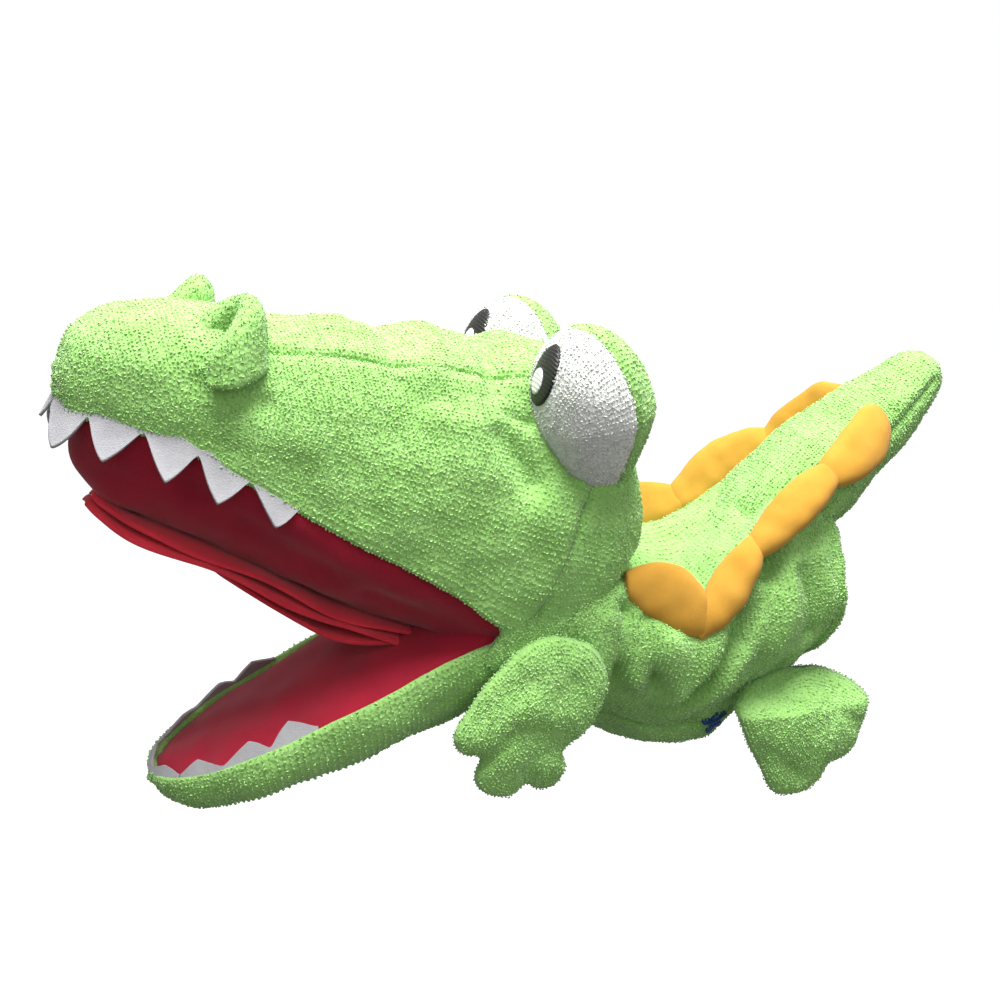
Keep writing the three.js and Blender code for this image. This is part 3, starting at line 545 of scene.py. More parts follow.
headFolds = both([
    # The ridge is drawn up into three puffs by its seams.
    ([(-262, -20, 134), (-245, -17, 138), (-226, -12, 139)], 4.2, 2.6),
    ([(-258, -28, 127), (-240, -27, 130), (-224, -24, 131)], 3.0, 1.4),
    ([(-262, -9, 142), (-246, -5, 143), (-230, -3, 142)], 3.4, 2.0),
    ([(-256, -14, 138), (-240, -11, 140), (-222, -9, 139)], 2.4, -2.2),
    ([(-217, -31, 118), (-216, -22, 130), (-213, -12, 134), (-212, 0, 136)], 4.5, -3.6),
    ([(-200, -30, 122), (-196, -20, 131), (-192, -6, 134)], 9, 2.8),
    ([(-212, -18, 131), (-200, -12, 134), (-186, -7, 133)], 2.6, -1.6),
    ([(-174, -36, 112), (-172, -24, 124), (-168, -10, 131), (-168, 0, 131)], 4.2, -3.6),
    ([(-158, -34, 117), (-154, -22, 126), (-154, -8, 130)], 7, 2.4),
    ([(-182, -36, 108), (-172, -40, 105), (-160, -44, 101)], 2.6, -2.6),
    ([(-176, -30, 116), (-166, -30, 117), (-157, -32, 115)], 2.2, -1.6),
    ([(-205, -26, 124), (-196, -33, 116), (-186, -38, 108)], 3.0, 1.2),
    # A soft hollow below the eye, and the cheek that swells in front of it.
    ([(-173, -49, 98), (-167, -52, 88), (-161, -54, 77)], 6, -4.2),
    ([(-156, -52, 62), (-150, -53, 46), (-156, -53, 30)], 13, 2.6),
    ([(-190, -50, 90), (-196, -52, 72), (-190, -53, 52)], 17, 2.2),
    ([(-176, -50, 104), (-186, -47, 104), (-200, -43, 106)], 5, 1.8),
    ([(-143, -50, 76), (-139, -52, 60), (-143, -52, 44)], 3.4, -1.6),
    ([(-120, -50, 66), (-122, -51, 48), (-128, -50, 32)], 7, 2.4),
    # Dents where the nostrils are sewn down.
    ([(-297, -40, 128), (-286, -44, 120), (-272, -42, 118)], 5, -1.6),
    # The side of the snout sinks in a little behind the nose.
    ([(-300, -44, 104), (-280, -48, 96), (-262, -49, 90)], 12, -1.2)])
skin = press(skin, out, headFolds)
skin += out * (softNoise(skin, 46, 3) * 0.9 + softNoise(skin, 17, 4) * 0.35)[..., None]
for seam in (seamNear, seamFar, seamCheekNear, seamCheekFar):
    skin = press(skin, out, [(seam[::3], 2.2, -2.4), (seam[::3], 7.5, 0.9)])
skin = press(skin, out, [(seamFront[::3], 2.4, -1.6)])


def turnedEdge(grid, out, side, depth=5):
    # The cloth turns in at the mouth edge: two more columns that roll under.
    edge = grid[:, -1 if side > 0 else 0]
    inner = grid[:, -2 if side > 0 else 1]
    down = edge - inner
    down /= np.maximum(np.linalg.norm(down, axis=1, keepdims=True), 1e-6)
    n = out[:, -1 if side > 0 else 0]
    rounded = [edge + down * 1.3 - n * 0.6, edge + down * 1.7 - n * 1.9,
               edge + down * 1.0 - n * 3.2, edge - down * 1.2 - n * 3.8, edge - down * depth - n * 4]
    return rounded


def withTurnedEdges(grid, out):
    left = turnedEdge(grid, out, -1)
    right = turnedEdge(grid, out, 1)
    return np.concatenate([np.stack(left[::-1], 1), grid, np.stack(right, 1)], 1), len(left)


def closedTip(grid, hub):
    # Three more rows draw the first arch together, so that the tip has no hole.
    hub = np.array(hub, float)
    return np.concatenate([np.stack([grid[0] + (hub - grid[0]) * t for t in (0.97, 0.7, 0.35)]), grid])


wide, extra = withTurnedEdges(skin, out)
rows, columns = wide.shape[:2]
area = np.zeros((rows - 1, columns - 1), int)
area[:, :] = 1
area[frontRow:cheekRow, ridgeColumn + extra:farRidgeColumn + extra] = 2
area[cheekRow:] = 3
wide = closedTip(wide, (-350.4, 0, 122))
area = np.vstack([np.ones((3, columns - 1), int), area])


def onTurnedEdge(grid, columns):
    ends = np.vstack([grid[:, :columns].reshape(-1, 3), grid[:, -columns:].reshape(-1, 3)])
    tree = kdtree.KDTree(len(ends))
    for k, p in enumerate(ends):
        tree.insert(p, k)
    tree.balance()
    return lambda points: np.array([tree.find(p)[2] < 0.05 for p in points])


inTurnedEdge = onTurnedEdge(wide, 4)


headRide = "upper_jaw"
neckBlend = ("upper_jaw", "sleeve", (-118, 0, 30), (-66, 0, 20))
terryPiece("face_cover", wide, headRide, ["snout_cover", "cheek_left", "cheek_right"], area == 1,
           seed=11, bare=inTurnedEdge)
terryPiece("ridge_gusset", wide, headRide, ["top_gusset"], area == 2, seed=12)
terryPiece("back_of_head", wide, headRide, ["head_back"], area == 3, seed=13, bare=inTurnedEdge)
print("head skin made")


# Eyes: an upright egg on each side, white in front and green behind, with a seam between.
# The soft eyes do not match: 1 is the left one and -1 the right one, in facing, shift and places.

eye = {"centre": (-130, -41, 102.5), "size": (26, 25, 38.5), "shift": {1: 0, -1: -5},
       "facing": {1: (-0.90, -0.39, -0.22), -1: (-0.80, -0.45, -0.05)},
       "pupil": (7.2, 11.4), "glint": (3.4, 5.0), "lean": 0.30,
       "pupilAt": {1: (-0.16, 0.60), -1: (-0.24, 0.58)}, "glintAt": {1: (-0.24, 0.54), -1: (-0.30, 0.52)}}


def eyeCentre(mirror):
    return np.array(eye["centre"], float) * [1, mirror, 1] + [eye["shift"][mirror], 0, 0]


def eyeFrame(mirror):
    n = np.array(eye["facing"][mirror], float)
    n /= np.linalg.norm(n)
    across = np.cross([0, 0, 1.0], n)
    across /= np.linalg.norm(across)
    return n, across, np.cross(n, across)


def eyeSurface(mirror, angle, turn):
    n, across, up = eyeFrame(mirror)
    w, _, h = eye["size"]
    # The egg is a little fuller at the top and narrows to a point low at the side.
    high = np.sin(angle) * np.sin(turn)
    wide = np.sin(angle) * np.cos(turn)
    low = np.maximum(-high, 0) ** 1.2
    side = wide * (1 - 0.68 * low) + 0.10 * low
    p = ((np.cos(angle) * (1 - 0.22 * low))[..., None] * n * w * 1.02 + side[..., None] * across * w * 1.06
         + high[..., None] * up * h)
    centre = eyeCentre(mirror)
    return centre + p


def eyeHalf(mirror, start, end, rows, cols):
    angle = np.linspace(start, end, rows)[:, None] * np.ones((1, cols))
    turn = np.linspace(0, 2 * math.pi, cols, endpoint=False)[None, :] * np.ones((rows, 1))
    p = eyeSurface(mirror, angle, turn)
    centre = eyeCentre(mirror)
    inward = centre - p
    inward /= np.linalg.norm(inward, axis=-1, keepdims=True)
    edge = np.abs(angle - math.pi / 2)
    p += inward * (1.6 * np.exp(-(edge / 0.075) ** 2) - 0.5 * np.exp(-(edge / 0.28) ** 2))[..., None]
    p += inward * (softNoise(p, 30, 8) * 0.45)[..., None]
    return p


def eyePlace(mirror, at):
    high, wide = at[1], at[0]
    angle = np.array([math.asin(min(math.hypot(high, wide), 0.99))])
    return eyeSurface(mirror, angle, np.array([math.atan2(high, wide)]))[0]


def eyePatch(name, mirror, at, size, lean, rise, material, node):
    # A small stitched patch that lies on the egg, with a ragged satin edge.
    n, across, up = eyeFrame(mirror)
    rings, spokes = 12, 96
    r = np.linspace(0, 1, rings)[:, None] * np.ones((1, spokes))
    t = np.linspace(0, 2 * math.pi, spokes, endpoint=False)[None, :] * np.ones((rings, 1))
    ragged = 1 + 0.035 * np.where(np.arange(spokes) % 2, 1, -1)[None, :] * (r > 0.9)
    x = size[0] * r * np.cos(t) * ragged
    z = size[1] * r * np.sin(t) * ragged
    x, z = x * math.cos(lean) - z * math.sin(lean), x * math.sin(lean) + z * math.cos(lean)
    w, _, h = eye["size"]
    high = at[1] + z / h
    wide = at[0] + x / (w * 1.06)
    angle = np.arcsin(np.clip(np.hypot(high, wide), 0, 0.99))
    turn = np.arctan2(high, wide)
    p = eyeSurface(mirror, angle, turn)
    centre = eyeCentre(mirror)
    outward = p - centre
    outward /= np.linalg.norm(outward, axis=-1, keepdims=True)
    p = p + outward * (rise + 0.35 * np.sqrt(np.maximum(1 - r**4, 0)))[..., None]
    skirt = p[-1:] - outward[-1:] * 2.2
    piece = gridPiece(name, np.concatenate([p[1:], skirt]), material, closed=True, capStart=True,
                      capEnd=True, flip=False)
    fixNormals(piece)
    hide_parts(node)
    return attach(piece, headRide)


def fixNormals(piece):
    work = bmesh.new()
    work.from_mesh(piece.data)
    bmesh.ops.remove_doubles(work, verts=work.verts, dist=1e-6)
    bmesh.ops.recalc_face_normals(work, faces=work.faces)
    work.to_mesh(piece.data)
    work.free()
    piece.data.polygons.foreach_set("use_smooth", [True] * len(piece.data.polygons))
    return piece


for mirror, sideName in ((1, "left"), (-1, "right")):
    half = math.pi / 2
    front = eyeHalf(mirror, 0.03, half, 31, 100)
    back = eyeHalf(mirror, half, math.pi - 0.03, 31, 100)
    flip = False
    pupilPlace = eyePlace(mirror, eye["pupilAt"][mirror])

    def underPupil(points):
        return np.linalg.norm((points - pupilPlace) / [1, 1, 1.75], axis=1) < eye["pupil"][0] + 0.2

    terryPiece("eye_" + sideName + "_white", front, headRide, ["eye_white_" + sideName], closed=True,
               capStart=True, capEnd=True, flip=flip, solid=0, seed=21, white=True,
               bare=underPupil)
    terryPiece("eye_" + sideName + "_green_back", back, headRide, ["eye_back_" + sideName],
               closed=True, capStart=True, capEnd=True, flip=flip, solid=0, seed=22)
    eyePatch("eye_" + sideName + "_pupil", mirror, eye["pupilAt"][mirror], eye["pupil"], -eye["lean"], 1.0,
             blackThread, "eye_pupil_" + sideName)
    eyePatch("eye_" + sideName + "_glint", mirror, eye["glintAt"][mirror], eye["glint"], -eye["lean"], 1.6,
             whiteThread, "eye_glint_" + sideName)
print("eyes made")


# Nostrils: a strip of padded terry bent into a cup, open towards the nose.

nostril = {"place": (-287, -31, 131), "radius": (12, 9.5), "height": 27, "wall": 9.5, "turn": 24,
           "shift": {1: 0, -1: -10}}


def nostrilCup(mirror, sideName, seed):
    wraps, around = 64, 52
    wallShape = [(0.5, -0.04, 0), (0.58, 0.25, 0), (0.62, 0.55, 0), (0.55, 0.8, 0), (0.3, 0.96, 0),
                 (0, 1.02, 0), (-0.3, 0.96, 0), (-0.48, 0.78, 0), (-0.42, 0.4, 0), (-0.4, -0.04, 0)]
    section = evenPath(wallShape, around, closed=True)
    theta = np.linspace(-1, 1, wraps)[:, None] * math.radians(142)
    share = np.abs(theta) / math.radians(142)
    theta = theta + math.radians(nostril["turn"])
    # The wall is highest at the back and runs down into the snout at the open front.
    tall = nostril["height"] * (0.16 + 0.84 * np.cos(share * 1.45) ** 0.62)
    h = section[None, :, 1] * tall
    wall = section[None, :, 0] * nostril["wall"] * (1 - 0.35 * share ** 3)
    up = h / nostril["height"]
    spread = 1.16 - 0.30 * up
    backward = (nostril["radius"][0] * spread + wall) * np.cos(theta)
    x = nostril["place"][0] + nostril["shift"][mirror] + backward + 0.10 * h
    y = nostril["place"][1] + (nostril["radius"][1] * spread + wall) * np.sin(theta) + 2.0 * up
    outside = np.maximum(-(nostril["radius"][1] * spread + wall) * np.sin(theta), 0)
    z = nostril["place"][2] + h + 1.5 * np.cos(theta) - 0.3 * outside * (1 - up)
    grid = np.stack([x, y * mirror, z], -1)
    outward = gridNormals(grid)
    grid = grid + outward * (softNoise(grid, 16, 31 + seed) * 0.5)[..., None]
    return terryPiece("nostril_" + sideName, grid, headRide,
                      ["nostril_cup_" + sideName, "nostril_inner_" + sideName], closed=True,
                      capStart=True, capEnd=True, flip=mirror > 0, solid=0, seed=seed)


nostrilCup(1, "left", 41)
nostrilCup(-1, "right", 42)
print("nostrils made")


# Teeth: white felt strips sewn in under the mouth edge, cut to points.

teeth = {"thickness": 1.3}


def rimPath(stations, halfWidth, upTo, inset, drop):
    u = np.linspace(upTo, 0.15, 90)
    near = archPoint(stations, halfWidth, u, -np.ones_like(u))
    far = near[::-1] * [1, -1, 1]
    path = np.vstack([near, far])
    path[:, 1] *= 1 - inset / halfWidth
    path[:, 2] += drop
    return path


def toothStrip(name, path, span, heights, out, down, material, nodes, body, seed, curl=2.0):
    # path: points along the sewn edge; span: start and end share; one height for each tooth.
    g = np.random.default_rng(seed)
    far = np.concatenate([[0], np.cumsum(np.linalg.norm(np.diff(path, axis=0), axis=1))])
    a, b = span[0] * far[-1], span[1] * far[-1]
    count = int((b - a) / 0.9)
    want = np.linspace(a, b, count)
    edge = np.stack([np.interp(want, far, path[:, k]) for k in range(3)], -1)
    along = np.gradient(edge, axis=0)
    along /= np.linalg.norm(along, axis=1, keepdims=True)
    q = np.linspace(0, len(heights) - 1e-6, count)
    k = q.astype(int)
    f = q - k
    skew = g.uniform(-0.10, 0.10, len(heights))[k]
    f = np.clip(f + skew * np.sin(f * math.pi), 0, 1)
    tri = 1 - np.abs(2 * f - 1)
    tri = np.sqrt(tri**2 + 0.02) - 0.14 + 0.10 * np.sin(tri * math.pi)
    deep = np.array(heights)[k] * np.clip(tri, 0, None) + 2.2
    rows = 22
    v = np.linspace(-0.18, 1, rows)
    lift = g.uniform(-0.5, 1.0, len(heights))[k]
    tip = g.uniform(-2.0, 1.5, len(heights))[k]
    grid = np.zeros((rows, count, 3))
    for r, share in enumerate(v):
        reach = deep * share
        bend = np.clip(share, 0, 1) ** 2
        grid[r] = (edge + down(edge, along) * reach[:, None]
                   + out(edge, along) * (curl * bend * (1 + lift) * tri)[:, None]
                   + along * (tip * bend * tri)[:, None])
    piece = gridPiece(name, grid, material)
    thicken(piece, teeth["thickness"], inward=False)
    fixNormals(piece)
    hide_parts(*nodes)
    return attach(piece, body)


def sideways(edge, along):
    o = np.stack([along[:, 1], -along[:, 0], 0 * along[:, 0]], -1)
    return -o / np.maximum(np.linalg.norm(o, axis=1, keepdims=True), 1e-6)


def hanging(edge, along):
    o = sideways(edge, along)
    d = np.array([-0.16, 0, -1.0]) + o * 0.32
    return d / np.linalg.norm(d, axis=1, keepdims=True)


def standing(edge, along):
    o = sideways(edge, along)
    d = np.array([-0.1, 0, 1.0]) - o * 0.55
    return d / np.linalg.norm(d, axis=1, keepdims=True)


upperRim = rimPath(headStations, head["halfWidth"], 5.25, 2.6, 2.6)
lowerRim = rimPath(jawStations, head["jawHalfWidth"], 3.9, 2.0, 0.5)
toothStrip("teeth_upper_left", upperRim, (0.0, 0.487), [14, 16.5, 17.5, 18, 18], sideways, hanging, feltGreyedByPaintedShade,
           ["upper_teeth_left"], "upper_jaw", 51)
toothStrip("teeth_upper_front", upperRim, (0.488, 0.530), [11], sideways, hanging, feltGreyedByPaintedShade,
           ["upper_tooth_front"], "upper_jaw", 52)
toothStrip("teeth_upper_right", upperRim, (0.531, 1.0), [17, 17, 17, 16.5, 14], sideways, hanging, feltGreyedByPaintedShade,
           ["upper_teeth_right"], "upper_jaw", 53)
toothStrip("teeth_lower_left", lowerRim, (0.0, 0.36), [8, 7, 6], sideways, standing, feltGreyedByPaintedShade,
           ["lower_teeth_left"], "lower_jaw", 54, curl=-1.0)
toothStrip("teeth_lower_front", lowerRim, (0.365, 0.635), [4, 4], sideways, standing, feltGreyedByPaintedShade,
           ["lower_tooth_front"], "lower_jaw", 55, curl=-1.0)
toothStrip("teeth_lower_right", lowerRim, (0.64, 1.0), [6, 7, 8], sideways, standing, feltGreyedByPaintedShade,
           ["lower_teeth_right"], "lower_jaw", 56, curl=-1.0)
print("teeth made")


# Mouth: the crimson lining of both jaws and the two-layer tongue between them.

palateDepths = [8, 27, 40, 45, 46, 44, 41, 37, 31, 24, 16]
floorDepths = [1, 3, 5, 8, 11, 15, 20, 24]


def liningGrid(stations, halfWidth, depths, upTo, rows, cols, sign, rough):
    u = np.linspace(0.25, upTo, rows)[:, None] * np.ones((1, cols))
    t = np.linspace(-1, 1, cols)[None, :] * np.ones((rows, 1))
    s = spline(stations, u)
    deep = spline(np.array(depths, float)[:, None], u)[..., 0]
    sag = (1 - t**2) ** 0.6
    x = s[..., 0] + (2.5 - 2 * np.minimum(u, 1)) + 1.5
    y = (halfWidth * s[..., 2] - 2.2) * t
    z = s[..., 1] + sign * deep * sag + 1.2 * -sign
    grid = np.stack([x, y, z], -1)
    n = gridNormals(grid)
    n = np.where(n[..., 2:] * sign > 0, n, -n)
    waves = softNoise(grid, 60, rough) * 1.5 * sag + softNoise(grid, 22, rough + 1) * 0.5
    grid = grid + n * waves[..., None]
    return grid, n


palate, palateOut = liningGrid(headStations, head["halfWidth"], palateDepths, 9.7, 96, 56, -1, 61)
palate = press(palate, palateOut, both([
    ([(-300, -30, 84), (-276, -36, 58), (-250, -38, 40)], 9, -2.5),
    ([(-262, -44, 64), (-236, -44, 46), (-212, -44, 30)], 8, 2.0),
    ([(-230, -36, 28), (-208, -40, 14), (-190, -44, 6)], 6, -2.5)]))
# The front of the lining turns up behind the tip of the nose.
palate = np.concatenate([np.stack([palate[0] * [1, 0.8, 1] + [1.0, 0, 8],
                                   palate[0] * [1, 0.92, 1] + [0.4, 0, 4]]), palate])
roof = gridPiece("palate_lining_cloth", palate, liningCloth, flip=False)
thicken(roof, 1.2, inward=False)
fixNormals(roof)
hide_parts("palate_lining")
attach(roof, "upper_jaw")

floorGrid, _ = liningGrid(jawStations, head["jawHalfWidth"], floorDepths, 6.9, 70, 52, 1, 65)
floorGrid[..., 2] -= 2 * np.interp(floorGrid[..., 0], [-320, -200], [1.0, 0.5])[...]
floorGrid = np.concatenate([floorGrid[:1] * [1, 0.9, 1] + [0.8, 0, -2.6], floorGrid])
floorPiece = gridPiece("jaw_lining_cloth", floorGrid, liningCloth, flip=True)
thicken(floorPiece, 1.2, inward=False)
fixNormals(floorPiece)
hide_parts("lower_lining")
attach(floorPiece, "lower_jaw")

tongueLine = [[-183, -2, 16], [-203, 2, 20], [-222, 9, 24], [-240, 18, 26], [-257, 28, 26], [-285, 44, 24],
              [-307, 56, 22], [-324, 64, 17], [-334, 71, 10], [-338, 75, 4]]


def tongueSlab(name, lift, thick, grow, node, seed):
    line = np.array(tongueLine, float)
    rows, around = 84, 44
    u = np.linspace(0, len(line) - 1, rows)[:, None] * np.ones((1, around))
    s = np.linspace(0, 2 * math.pi, around, endpoint=False)[None, :] * np.ones((rows, 1))
    p = spline(line, u)
    c, w = np.cos(s), np.sin(s)
    across = np.sign(c) * np.abs(c) ** 0.45
    high = np.sign(w) * np.abs(w) ** 0.7
    half = p[..., 2] + grow
    slope = np.gradient(p[..., :2], axis=0)
    slope /= np.linalg.norm(slope, axis=-1, keepdims=True)
    up = np.stack([-slope[..., 1], slope[..., 0]], -1)
    up *= np.sign(up[..., 1:2])
    droop = 2.6 * across**2
    ripple = 1.2 * np.sin(p[..., 0] * 0.11 + seed) * np.abs(across) ** 3
    off = lift + high * thick / 2 - droop + ripple
    grid = np.stack([p[..., 0] + up[..., 0] * off, half * across, p[..., 1] + up[..., 1] * off], -1)
    piece = gridPiece(name, grid, tongueCloth, closed=True, capStart=True, capEnd=True)
    fixNormals(piece)
    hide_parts(node)
    return attach(piece, "tongue")


tongueSlab("tongue_upper_layer", 2.4, 3.4, 0.0, "tongue_top", 0.0)
tongueSlab("tongue_lower_layer", -1.6, 3.4, 1.2, "tongue_under", 1.7)


def tongueFlap():
    rows, cols = 40, 30
    u = np.linspace(1.8, 5.4, rows)[:, None] * np.ones((1, cols))
    t = np.linspace(-1, 1, cols)[None, :] * np.ones((rows, 1))
    p = spline(np.array(tongueLine, float), u)
    tipward = (u - 1.8) / 3.6
    hang = 4.0 + 7.0 * np.sin(tipward * math.pi) ** 1.2 * (0.45 + 0.55 * (t < 0) * np.abs(t))
    grid = np.stack([p[..., 0] + 2 * t * t, (p[..., 2] - 1.0) * t * (1 - 0.25 * tipward**3),
                     p[..., 1] - hang - 2.2 * t * t], -1)
    piece = gridPiece("tongue_flap_cloth", grid, tongueCloth)
    thicken(piece, 1.8, inward=False)
    fixNormals(piece)
    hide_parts("tongue_flap")
    attach(piece, "tongue")


tongueFlap()

jawRows, jawCols = 96, 73
ju = np.linspace(0, 7, jawRows)[:, None] * np.ones((1, jawCols))
ja = np.linspace(-1, 1, jawCols)[None, :] * np.ones((jawRows, 1))
jaw = archPoint(jawStations, head["jawHalfWidth"], ju, ja)
jawOut = gridNormals(jaw)
if jawOut[40, 30, 2] > 0:
    jawOut = -jawOut
jaw = press(jaw, jawOut, both([
    ([(-300, -28, -58), (-262, -40, -46), (-222, -44, -32)], 14, 2.4),
    ([(-250, -44, -34), (-232, -46, -30)], 5, -0.8),
    ([(-206, -46, -22), (-196, -46, -18), (-190, -44, -10)], 5, -1.5)]))
jaw += jawOut * (softNoise(jaw, 40, 71) * 0.8 + softNoise(jaw, 16, 72) * 0.3)[..., None]
jawWide, _ = withTurnedEdges(jaw, jawOut)
jawWide = closedTip(jawWide, (-322.2, 0, -56))
terryPiece("jaw_cover_cloth", jawWide, "lower_jaw", ["jaw_cover"], flip=True, seed=73,
           bare=onTurnedEdge(jawWide, 4))
print("mouth made")


# Body: rings of six points each, in order near crest, near side, belly, far side, far crest, back.

bodyRings = [
    [(-126, -45, 30), (-152, -47, -2), (-158, 0, -42), (-152, 47, -2), (-126, 45, 30), (-104, 0, 47)],
    [(-119, -46, 25), (-128, -50, -14), (-134, 0, -51), (-128, 49, -12), (-119, 44, 30), (-102, 0, 38)],
    [(-104, -48, 14), (-108, -52, -20), (-114, 0, -59), (-108, 49, -14), (-102, 43, 27), (-99, -2, 27)],
    [(-86, -50, 3), (-90, -52, -25), (-94, -4, -68), (-90, 48, -15), (-84, 40, 25), (-86, -5, 18)],
    [(-74, -50, 6), (-75, -51, -26), (-78, -5, -71), (-75, 48, -14), (-70, 38, 25), (-72, -7, 17)],
    [(-58, -45, 24), (-60, -50, -21), (-60, -5, -70), (-60, 48, -12), (-54, 36, 29), (-56, -6, 26)],
    [(-42, -39, 38), (-42, -49, -14), (-41, 0, -64), (-42, 47, -9), (-38, 33, 36), (-39, -4, 37)],
    [(-24, -35, 48), (-22, -48, -8), (-22, 0, -52), (-22, 45, -5), (-22, 29, 45), (-22, -2, 47)],
    [(-12, -34, 43), (-13, -46, -4), (-14, 0, -43), (-13, 44, -3), (-12, 31, 42), (-12, 0, 46)],
    [(-5, -33, 37), (-4, -45, -3), (-7, 0, -37), (-4, 43, -3), (-5, 32, 37), (-4, 0, 40)]]
bodyRows, bodyCols = 98, 168


def bodyGrid():
    rings = np.array(bodyRings, float)
    around = np.linspace(0, 6, bodyCols, endpoint=False)
    fine = np.stack([evenRing(ring, bodyCols) for ring in rings])
    u = np.linspace(0, len(rings) - 1, bodyRows)
    return spline(fine, u)


def evenRing(ring, count):
    # Spreads the columns evenly inside each of the six spans, so that the seams keep their columns.
    fine = closedSpline(ring, np.linspace(0, 6, 601))
    spans = []
    shares = [35, 35, 35, 35, 14, 14]
    for k, n in enumerate(shares):
        part = fine[k * 100:k * 100 + 101]
        far = np.concatenate([[0], np.cumsum(np.linalg.norm(np.diff(part, axis=0), axis=1))])
        want = np.linspace(0, far[-1], n, endpoint=False)
        spans.append(np.stack([np.interp(want, far, part[:, c]) for c in range(3)], -1))
    return np.vstack(spans)


body = bodyGrid()
bodyOut = gridNormals(np.concatenate([body[:, -2:], body, body[:, :2]], 1))[:, 2:-2]
if bodyOut[40, 30, 1] > 0:
    bodyOut = -bodyOut
bodyFolds = [
    ([(-116, -50, 14), (-119, -51, -4), (-121, -50, -24), (-118, -46, -42)], 3.6, -4.2),
    ([(-126, -49, 10), (-128, -50, -10), (-128, -48, -30)], 5.5, 3.0),
    ([(-108, -50, 8), (-104, -52, -12), (-98, -52, -32)], 3.2, -3.2),
    ([(-112, -50, -6), (-110, -52, -24), (-104, -50, -42)], 4.6, 2.6),
    ([(-97, -52, -6), (-92, -52, -22), (-92, -50, -38)], 6.0, 2.8),
    ([(-60, -49, 6), (-68, -51, -12), (-82, -50, -30), (-97, -44, -46)], 4.0, -6.0),
    ([(-72, -52, -4), (-82, -52, -20), (-96, -48, -36)], 5.0, 2.6),
    ([(-50, -49, 14), (-56, -50, -6), (-70, -50, -26), (-86, -44, -46)], 6.5, 4.0),
    ([(-6, -46, -20), (-30, -48, -30), (-50, -46, -40), (-70, -38, -52), (-86, -28, -60)], 2.6, -3.6),
    ([(-8, -46, -14), (-32, -49, -23), (-52, -49, -32), (-70, -44, -46)], 4.6, 3.2),
    ([(-44, -46, 30), (-50, -50, 12), (-60, -51, -6)], 5.0, -3.4),
    ([(-30, -44, 30), (-34, -49, 10), (-42, -50, -12)], 8.0, 3.2),
    ([(-28, -46, 20), (-24, -48, 6), (-22, -47, -8)], 3.6, -2.2),
    ([(-16, -44, 26), (-12, -47, 8), (-12, -46, -10)], 5.5, 2.0),
    ([(-100, -30, -58), (-80, -24, -66), (-60, -22, -66)], 9, 2.0),
    ([(-118, 48, 6), (-114, 50, -14), (-108, 48, -32)], 4.5, -3.4),
    ([(-70, 48, 10), (-76, 50, -10), (-88, 48, -28)], 4.5, -3.8),
    ([(-40, 47, 14), (-46, 49, -4), (-58, 48, -22)], 6.0, 3.0),
    ([(-96, 48, 8), (-92, 50, -12), (-90, 48, -30)], 6.0, 2.6),
    ([(-86, -20, 18), (-74, -8, 15), (-62, 6, 20)], 9, -2.0),
    ([(-60, -24, 26), (-46, -12, 32), (-34, 0, 38)], 7, 1.6)]
body = press(body, bodyOut, [(path, width, height * 1.8) for path, width, height in bodyFolds])
body += bodyOut * (softNoise(body, 42, 81) * 1.2 + softNoise(body, 18, 82) * 0.4)[..., None]
for column in (54, 86):
    seam = body[6:, column]
    body = press(body, bodyOut, [(seam[::4], 2.0, -1.6)])
columnIndex = np.arange(bodyCols)[None, :] * np.ones((bodyRows - 1, 1), int)
bodyCuts = {
    "side_cover_left": (columnIndex < 54, ["side_panel_left", "throat_panel"], 91),
    "belly_cover": ((columnIndex >= 54) & (columnIndex < 86), ["belly_panel"], 92),
    "side_cover_right": ((columnIndex >= 86) & (columnIndex < 140), ["side_panel_right"], 93),
    "back_cover": (columnIndex >= 140, ["back_panel"], 94)}
for name, (mask, nodes, seed) in bodyCuts.items():
    terryPiece(name, body, neckBlend, nodes, mask, closed=True, seed=seed, flip=True, solid=1.4)
print("body made")


# Throat: the cloth between the lower jaw and the body.

throatRings = [
    [(-176, -49, 4), (-178, -40, -26), (-182, 0, -39), (-178, 40, -26), (-176, 49, 4)],
    [(-162, -49, 2), (-160, -44, -26), (-162, 0, -42), (-160, 44, -26), (-162, 49, 2)],
    [(-146, -47, -4), (-142, -44, -32), (-142, 0, -48), (-142, 44, -32), (-146, 47, -4)],
    [(-128, -46, -14), (-126, -40, -42), (-124, 0, -54), (-126, 40, -42), (-128, 46, -14)]]


def throatGrid():
    rings = np.array(throatRings, float)
    u = np.linspace(0, 3, 36)
    fine = np.stack([evenPath(ring, 84) for ring in rings])
    return spline(fine, u)


throat = throatGrid()
throatOut = gridNormals(throat)
if throatOut[18, 42, 2] > 0:
    throatOut = -throatOut
throat = throat + throatOut * (softNoise(throat, 22, 95) * 0.9)[..., None]
terryPiece("throat_cover", throat, ("lower_jaw", "sleeve", (-166, 0, -30), (-122, 0, -46)), [],
           flip=True, seed=96)


# Mouth corners: the cloth that joins the cheek to the jaw behind the mouth.

cornerRails = [
    [(-180, -42, 19), (-171, -43, 10), (-178, -42, 0)],
    [(-183, -49.5, 20), (-174.5, -50.8, 10.5), (-182, -48.6, -3)],
    [(-168, -51.8, 18), (-163, -52.2, 6), (-168, -50, -12)],
    [(-148, -51.2, 16), (-144, -51.2, 0), (-148, -49, -18)],
    [(-140, -45, 14), (-137, -46, 0), (-140, -44, -18)]]


